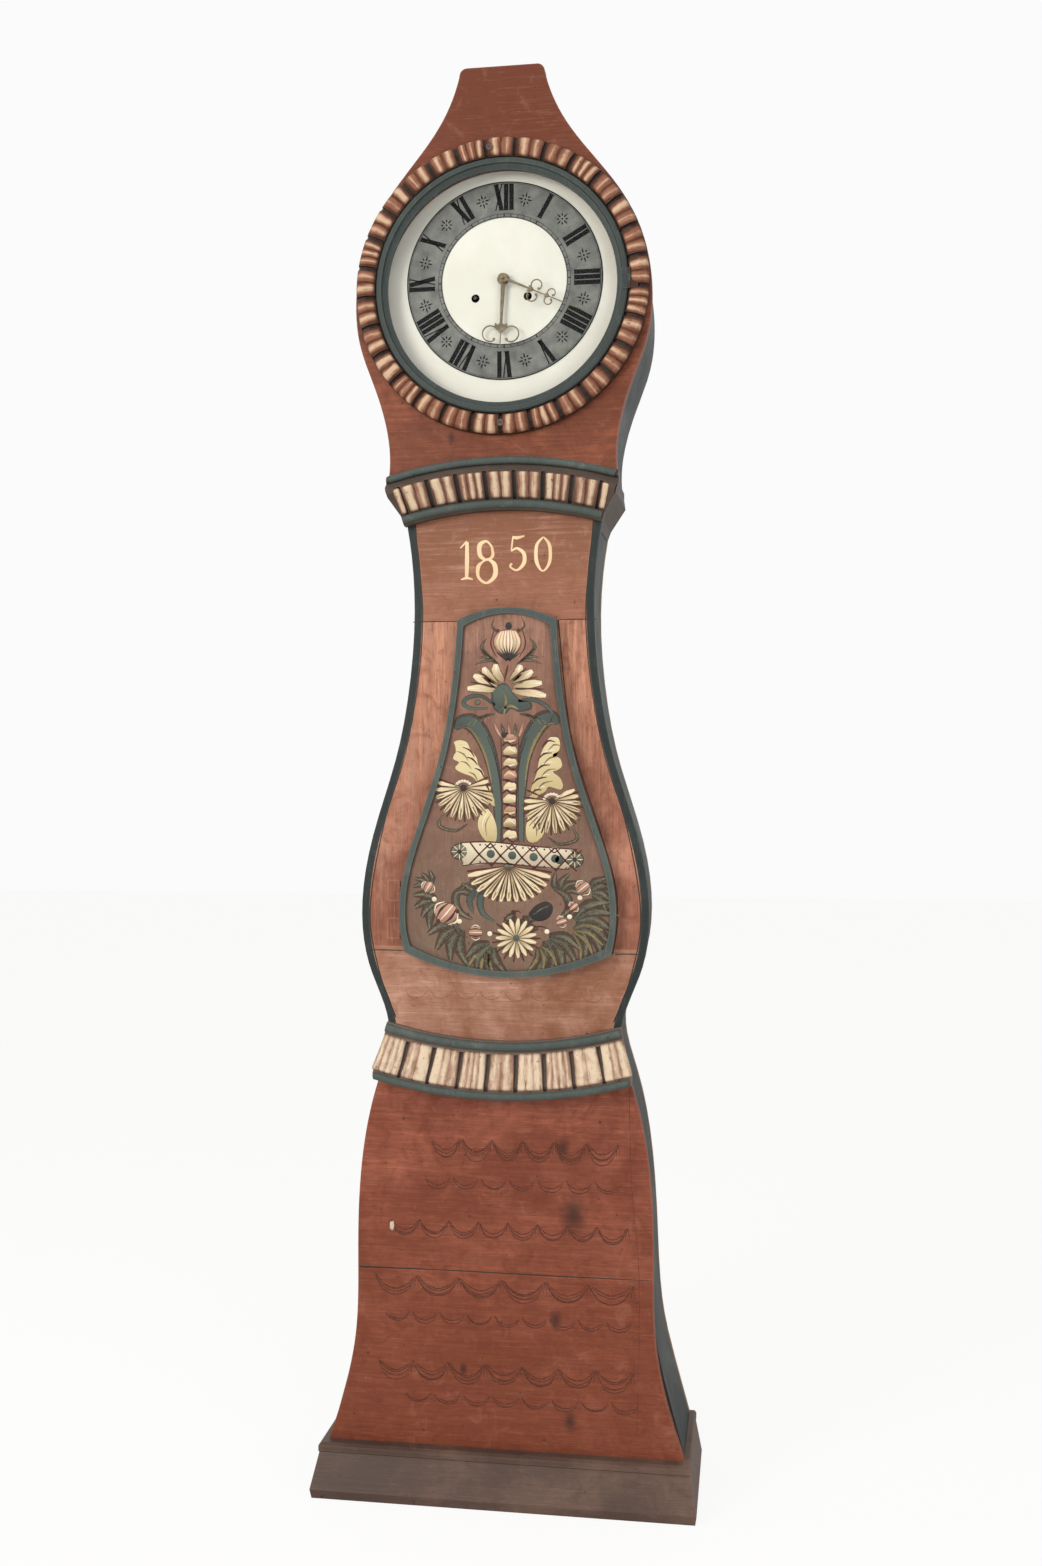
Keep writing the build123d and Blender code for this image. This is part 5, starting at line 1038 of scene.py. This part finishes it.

# %% [markdown]
# ### Outlines, joints and scars
#
# Dark lines mark where two boards meet and run beside the green edge, and a dark line round the door
# is painted shadow of the door's frame on the case. The joint of the two base boards is found on the
# lower one's mesh, so the line lies on it. A few dots, a chip and a long scratch are what long use has
# left.

# %% Outlines, joints and scars
WAIST = [(706, 174), (776, 200), (864, 213.5), (987, 193.5), (1093, 161), (1199, 141), (1308, 133.5),
         (1431, 144), (1490, 144)]
DOOR = [(805, 152.5), (838, 158.5), (866, 160), (913, 155), (985, 134), (1087, 101), (1160, 86), (1292, 73)]
JOINTS = ((1292, -136, -68), (1292, 82, 136), (805, -206, -150), (805, 164, 206))
for x, z in ((-168, 404), (-150, 556), (142, 560), (-120, 96), (60, 92), (196, 300), (-205, 205)):
    combed.disc("glaze", (x, z), 2.4, 4)
for side in (-1, 1):
    combed.stroke("line", [(side * (half - 12.2), z) for z, half in WAIST], (1.8, 2.2, 1.4, 2.0, 1.6), 4)
    # Painted shadow of the door's frame, just outside it on the case.
    combed.stroke("line", [(7 + side * (half + 0.8), z) for z, half in DOOR], (1.8, 2.2, 1.6, 2.2), 4)
lower_board = [corner.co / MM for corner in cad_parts["base_board_lower"].data.vertices]
joint_z = max(spot.z for spot in lower_board)
joint_half = max(spot.x for spot in lower_board if spot.z > joint_z - 1) - 1.5
combed.stroke("line", [(-joint_half, joint_z), (-90, joint_z + 0.8), (60, joint_z), (joint_half, joint_z)],
              (3.2, 1.6, 2.6, 1.0), 5)
for z, left, right in JOINTS:
    combed.stroke("line", [(left, z), ((left + right) / 2, z + 0.4), (right, z)], (1.4, 2.0, 1.4), 5)
combed.blob("chip", [(-171, 402), (-166, 404), (-164, 396), (-167, 388), (-172, 392)], 5)
combed.stroke("glaze", [(184, 640), (188, 470), (199, 330), (196, 110)], (1.6, 1.2, 1.6, 1.2), 4)
combed.finish()

# %% [markdown]
# ## The dial
#
# Black ink on the dial, flat and dull. The numerals stand with their feet towards the centre. Thick
# and thin bars follow the broad-pen rule: the falling strokes of V and X are thick, the rising ones
# thin. A small star stands between every two of them. A font would have to be bent round the dial,
# while bars between two radii stand right by themselves.


# %% Ink and bars
ink_material, add = new_material("dial ink")
add("OutputMaterial", (add("BsdfPrincipled", {"Base Color": rgb("#0d0d0d"), "Roughness": 0.7,
                                              "Specular IOR Level": 0.15}),))
ink = Drawing("dial", "case", -69.3, (0.0, 1793.0), (1.0, -1.0), {"ink": (ink_material, "hand_black")})


def polar(radius, clock, across=0.0):
    """Point at a radius and a clock angle in degrees, moved across the radius to the right."""
    a = math.radians(clock)
    return (radius * math.sin(a) + across * math.cos(a), radius * math.cos(a) - across * math.sin(a))


def bar(clock, low, high, width):
    """Straight bar between two (radius, across) ends, with a fine serif at both."""
    ink.stroke("ink", [polar(low[0], clock, low[1]), polar(high[0], clock, high[1])], (width, width), 0, 1)
    for radius, across in (low, high):
        half = width / 2 + 1.1
        serif = [polar(radius, clock, across - half), polar(radius, clock, across + half)]
        ink.stroke("ink", serif, (0.7, 0.7), 1, 1)


print("the dial's middle is at z", ink.origin[1])

# %% Numerals and stars
NUMERALS = ["XII", "I", "II", "III", "IIII", "V", "VI", "VII", "VIII", "IX", "X", "XI"]
ADVANCE = {"I": 8.0, "V": 14.0, "X": 14.0}
FOOT, HEAD, STAR, THICK, THIN = 104.0, 142.0, 122.0, 6.6, 1.8
BARS = {"I": [(0.0, 0.0, THICK)], "V": [(0.0, -4.4, THICK), (0.6, 4.6, THIN)],
        "X": [(4.2, -4.2, THICK), (-4.4, 4.4, THIN)]}
for hour, word in enumerate(NUMERALS):
    angle = 30.0 * hour
    pen = -sum(ADVANCE[letter] for letter in word) / 2
    for letter in word:
        middle = pen + ADVANCE[letter] / 2
        for foot, head, width in BARS[letter]:
            bar(angle, (FOOT, middle + foot), (HEAD, middle + head), width)
        pen += ADVANCE[letter]
    between = angle + 15
    for k in range(8):
        turn = math.radians(45 * k)
        near, far = (3.6, 10.6) if k % 2 == 0 else (4.4, 8.6)
        ray = [polar(STAR + r * math.cos(turn), between, r * math.sin(turn)) for r in (near, near + 2, far)]
        ink.stroke("ink", ray, (0.8, 2.5, 0.8), 0, 3)
    ink.disc("ink", polar(STAR, between), 1.5)
ink.report("numerals and stars")

# %% Rings and minutes
for radius, width in ((145.2, 1.6), (93.8, 1.0), (98.6, 0.6), (143.0, 0.4)):
    ink.stroke("ink", [polar(radius, 3 * k) for k in range(121)], (width, width), 0, 1)
for minute in range(60):
    width = 1.6 if minute % 5 == 0 else 0.9
    ink.stroke("ink", [polar(94, 6 * minute), polar(98.5, 6 * minute)], (width, width), 0, 1)
ink.finish()

# %% [markdown]
# ## Enamel, metals and gut
#
# Two tones in soft patches, with a fine bump, are enough for pieces this small. The dial is glossy
# off-white enamel, the hour ring dull old silvering. Brass, bell metal and steel mirror softly under
# a skin of age, cast iron is black and rough, and the hands are bronzed. Gut is a pale, waxy line.
# Brushed or turned marks could be added to the metals, but behind the dial they would never show.


# %% Two-toned finishes
def two_toned(name, colour, second, rough, metallic, patch, bump_depth=0.2):
    """Patches of two colours; the patch and the depth of the bump are in millimetres."""
    made, add = new_material(name)
    cloud = pattern(add, patch, 5.0, 0.6)
    fine = pattern(add, patch / 9, 3.0, 0.5)
    tone = lay(add, rgb(colour), second, cloud, 0.35, 0.65)
    gloss = add("MapRange", (fine, 0.3, 0.7, rough - 0.05, rough + 0.08))
    bump = add("Bump", {"Height": fine, "Strength": 0.3, "Distance": bump_depth * MM})
    skin = {"Base Color": tone, "Roughness": gloss, "Metallic": metallic, "Normal": bump}
    add("OutputMaterial", (add("BsdfPrincipled", skin),))
    return made


enamel = two_toned("dial enamel", "#dadace", "#cfcfc2", 0.35, 0.0, 111)
silvered = two_toned("silvered ring", "#4e514e", "#6f716a", 0.5, 0.1, 22.2)
brass = two_toned("aged brass", "#a8843f", "#7d6230", 0.32, 1.0, 40)
bell_metal = two_toned("bell metal", "#9a7b45", "#6f5930", 0.28, 1.0, 55.6)
steel = two_toned("darkened steel", "#57575a", "#3c3c3f", 0.38, 1.0, 25)
iron = two_toned("cast iron", "#2b2927", "#1d1b1a", 0.7, 0.6, 12.5, 1.0)
bronze = two_toned("bronzed hands", "#7a6f58", "#574f3e", 0.45, 0.5, 8.33)
screw_heads = two_toned("painted screws", "#5a3a2f", "#2f2622", 0.55, 0.0, 6.67)
# The front plate is brass darkened as painted shade, so the winding holes in the dial look dark.
shade_dark_brass = two_toned("brass darkened as painted shade", "#33291a", "#1f1910", 0.55, 0.5, 25)
gut = two_toned("twisted gut", "#b09a68", "#94804f", 0.5, 0.0, 3.33)
print("finishes:", len(bpy.data.materials))

# %% [markdown]
# ## Glass of the dial door
#
# A thin pane: clear straight on, with a mirror that grows towards the edge of sight. Real refraction
# through a pane this thin shows nothing more and adds noise, so clear and mirror are mixed. The
# mirror is kept to the outer faces, because a thin pane has no dark inside.

# %% Glass
glass, add = new_material("door glass")
outside = add("Math", (1.0, add("NewGeometry", out="Backfacing")), operation="SUBTRACT")
look = add("Math", (add("LayerWeight", {"Blend": 0.1}, out="Fresnel"), outside), operation="MULTIPLY")
clear = add("BsdfTransparent", {"Color": rgb("#fdfdfd")})
shine = add("BsdfGlossy", {"Color": (1, 1, 1, 1), "Roughness": 0.02})
add("OutputMaterial", (add("MixShader", (look, clear, shine)),))
print("glass nodes:", len(glass.node_tree.nodes))

# %% [markdown]
# ## Dressing the CAD pieces
#
# Each CAD piece keeps its mesh and takes one finish. What isn't named here is brass.

# %% Finishes of the CAD pieces
FINISH = {
    red_base: ["base_board_upper", "base_board_lower"],
    band_ground: ["upper_moulding"],
    red_hood: ["hood_front"],
    red_rail: ["top_rail", "lower_rail"],
    red_stile: ["stile_left", "stile_right", "waist_hinge_leaves", "door_hinge_leaves"],
    door_ground: ["door_panel"],
    green: ["door_frame"],
    green_ring: ["dial_door_ring", "dial_door_leaf"],
    green_dark: ["side_left", "side_right", "hood_side_left", "hood_side_right", "crown_top"],
    dark: ["plinth"],
    raw: ["backboard", "base_floor", "seat_board"],
    ring_ground: ["bezel_ring", "dial_hinge_leaf"],
    pad_ground: ["lower_moulding"],
    screw_heads: ["bezel_screws"],
    enamel: ["dial_plate"],
    silvered: ["chapter_ring"],
    glass: ["dial_glass"],
    bronze: ["hour_hand", "minute_hand"],
    bell_metal: ["bells"],
    iron: ["weight_going", "weight_strike"],
    gut: ["line_going", "line_strike", "line_tops"],
    steel: ["anchor", "hammers", "pendulum_rod", "drum_going", "drum_strike"],
    # Painted shade: the front plate behind the dial is darkened.
    shade_dark_brass: ["front_plate"],
}
finish_of = {node: material for material, nodes in FINISH.items() for node in nodes}
for node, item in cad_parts.items():
    item.data.materials.clear()
    item.data.materials.append(finish_of.get(node, brass))
print("dressed", len(finish_of), "nodes; brass:", len(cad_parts) - len(finish_of))

# %% [markdown]
# ## Green beads on the mouldings
#
# Round beads run along both edges of each moulding, in the green of the door's frame. Each is a half
# tube laid on the CAD bead that it paints, and ends at the half width that its moulding has there.
# Giving the moulding's own faces a second paint would leave a ragged edge where the faces meet.


# %% Beads
BEAD_SUNK = 0.6


def bead(name, centre_z, radius, y, size, half_width, sign=1):
    """A rounded strip along an arc; size is its height in the front view."""
    segments = 90
    limit = math.asin(half_width / radius)
    rows, uv_rows = [], []
    for k in range(9):
        turn = math.pi * k / 8
        depth = y + BEAD_SUNK - 0.45 * size * math.sin(turn)
        r = sign * (radius - size / 2 * math.cos(turn))
        angles = [limit * (2 * j / segments - 1) for j in range(segments + 1)]
        rows.append([(r * math.sin(a), depth, centre_z + r * math.cos(a)) for a in angles])
        uv_rows.append([(j / 6, k / 8) for j in range(segments + 1)])
    sheet = Sheet()
    sheet.grid(rows[::sign], uv_rows)
    sheet.build(name, green, "case", "pine_green", smooth=True)
    print(name, "faces:", len(sheet.faces))


bead("upper_bead_top", arch_centre, arch_radius - 6, -99.4, 11.0, 166.825)
bead("upper_bead_low", arch_centre, arch_radius - 67.5, -90.6, 12.0, 146.5)
bead("lower_bead_top", sag_centre, sag_radius + 7.5, -87.6, 13.0, 174.0, -1)
bead("lower_bead_low", sag_centre, sag_radius + 76.5, -107.4, 11.0, 187.0, -1)

# %% [markdown]
# ## Floor, light and camera
#
# The surround is pale grey as a light, and nearly white where the camera, a reflection or glass
# looks straight at it. The floor is a plain pale plane that keeps the clock's shadow and glows to
# the camera, so that no horizon shows. Stronger lamps would whiten it too, but bleach the paint.

# %% Surround
scene = bpy.context.scene
world = bpy.data.worlds.new("pale surround")
scene.world = world
world.use_nodes = True
world.node_tree.nodes.clear()
add = functools.partial(add_node, world.node_tree)
camera_ray, glossy_ray, glass_ray = [
    add("LightPath", out=f"Is {ray} Ray") for ray in ("Camera", "Glossy", "Transmission")]
looked_at = add("Math", (glossy_ray, glass_ray), operation="MAXIMUM")
looked_at = add("Math", (camera_ray, looked_at), operation="MAXIMUM")
lit = add("Background", {"Color": rgb("#f3f1ee"), "Strength": 0.55})
shown = add("Background", {"Color": (0.965, 0.965, 0.965, 1), "Strength": 1.0})
add("OutputWorld", (add("MixShader", (looked_at, lit, shown)),))
print("surround nodes:", len(world.node_tree.nodes))

# %% Floor
floor_mesh = bpy.data.meshes.new("floor")
floor_mesh.from_pydata([(-9, -5, 0), (9, -5, 0), (9, 12, 0), (-9, 12, 0)], [], [(0, 1, 2, 3)])
floor = bpy.data.objects.new("floor", floor_mesh)
scene.collection.objects.link(floor)
floor_material, add = new_material("pale floor")
matt = add("BsdfPrincipled", {"Base Color": (0.9, 0.9, 0.89, 1), "Roughness": 0.8})
glow = add("Emission", {"Color": (1.0, 0.998, 0.994, 1), "Strength": 1.0})
seen = add("Math", (add("LightPath", out="Is Camera Ray"), 0.9), operation="MULTIPLY")
add("OutputMaterial", (add("MixShader", (seen, matt, glow)),))
floor_mesh.materials.append(floor_material)
print("floor:", [round(side) for side in floor.dimensions[:2]], "m")


# %% Lamps
def area_light(name, place, aim, size, power, tint="#ffffff"):
    """A rectangular lamp at a place, turned to its aim; sizes in metres and power in watts."""
    data = bpy.data.lights.new(name, "AREA")
    data.shape = "RECTANGLE"
    data.size, data.size_y = size
    data.energy = power
    data.color = rgb(tint)[:3]
    made = bpy.data.objects.new(name, data)
    made.location = place
    across, back, up = [a - p for a, p in zip(aim, place)]
    tilt = math.atan2(math.hypot(across, back), -up)
    made.rotation_euler = (tilt, 0, math.atan2(back, across) - math.pi / 2)
    scene.collection.objects.link(made)


area_light("key", (-2.4, -3.4, 2.3), (0, 0, 1.1), (1.8, 1.8), 120, "#fffaf4")
area_light("fill", (2.6, -3.4, 1.2), (0, 0, 1.0), (2.4, 2.4), 55, "#f6f8ff")
area_light("overhead", (0, -1.6, 4.2), (0, 0, 0.3), (3.0, 2.0), 30)
print("lamps:", len(bpy.data.lights))

# %% [markdown]
# ### Camera
#
# It stands a little to the right of the clock, level, at about half its height.

# %% Camera
camera_data = bpy.data.cameras.new("camera")
camera_data.sensor_fit = "VERTICAL"
camera_data.sensor_height = 36
camera_data.lens = 36.41
camera_data.shift_x = 0.0111
camera_data.shift_y = -0.0019
camera = bpy.data.objects.new("camera", camera_data)
camera.location = (0.364, -2.3722, 1.058)
camera.rotation_euler = (math.radians(90), 0, math.radians(9))
scene.collection.objects.link(camera)
scene.camera = camera
scene.view_settings.view_transform = "Standard"
print("camera lens:", camera_data.lens)
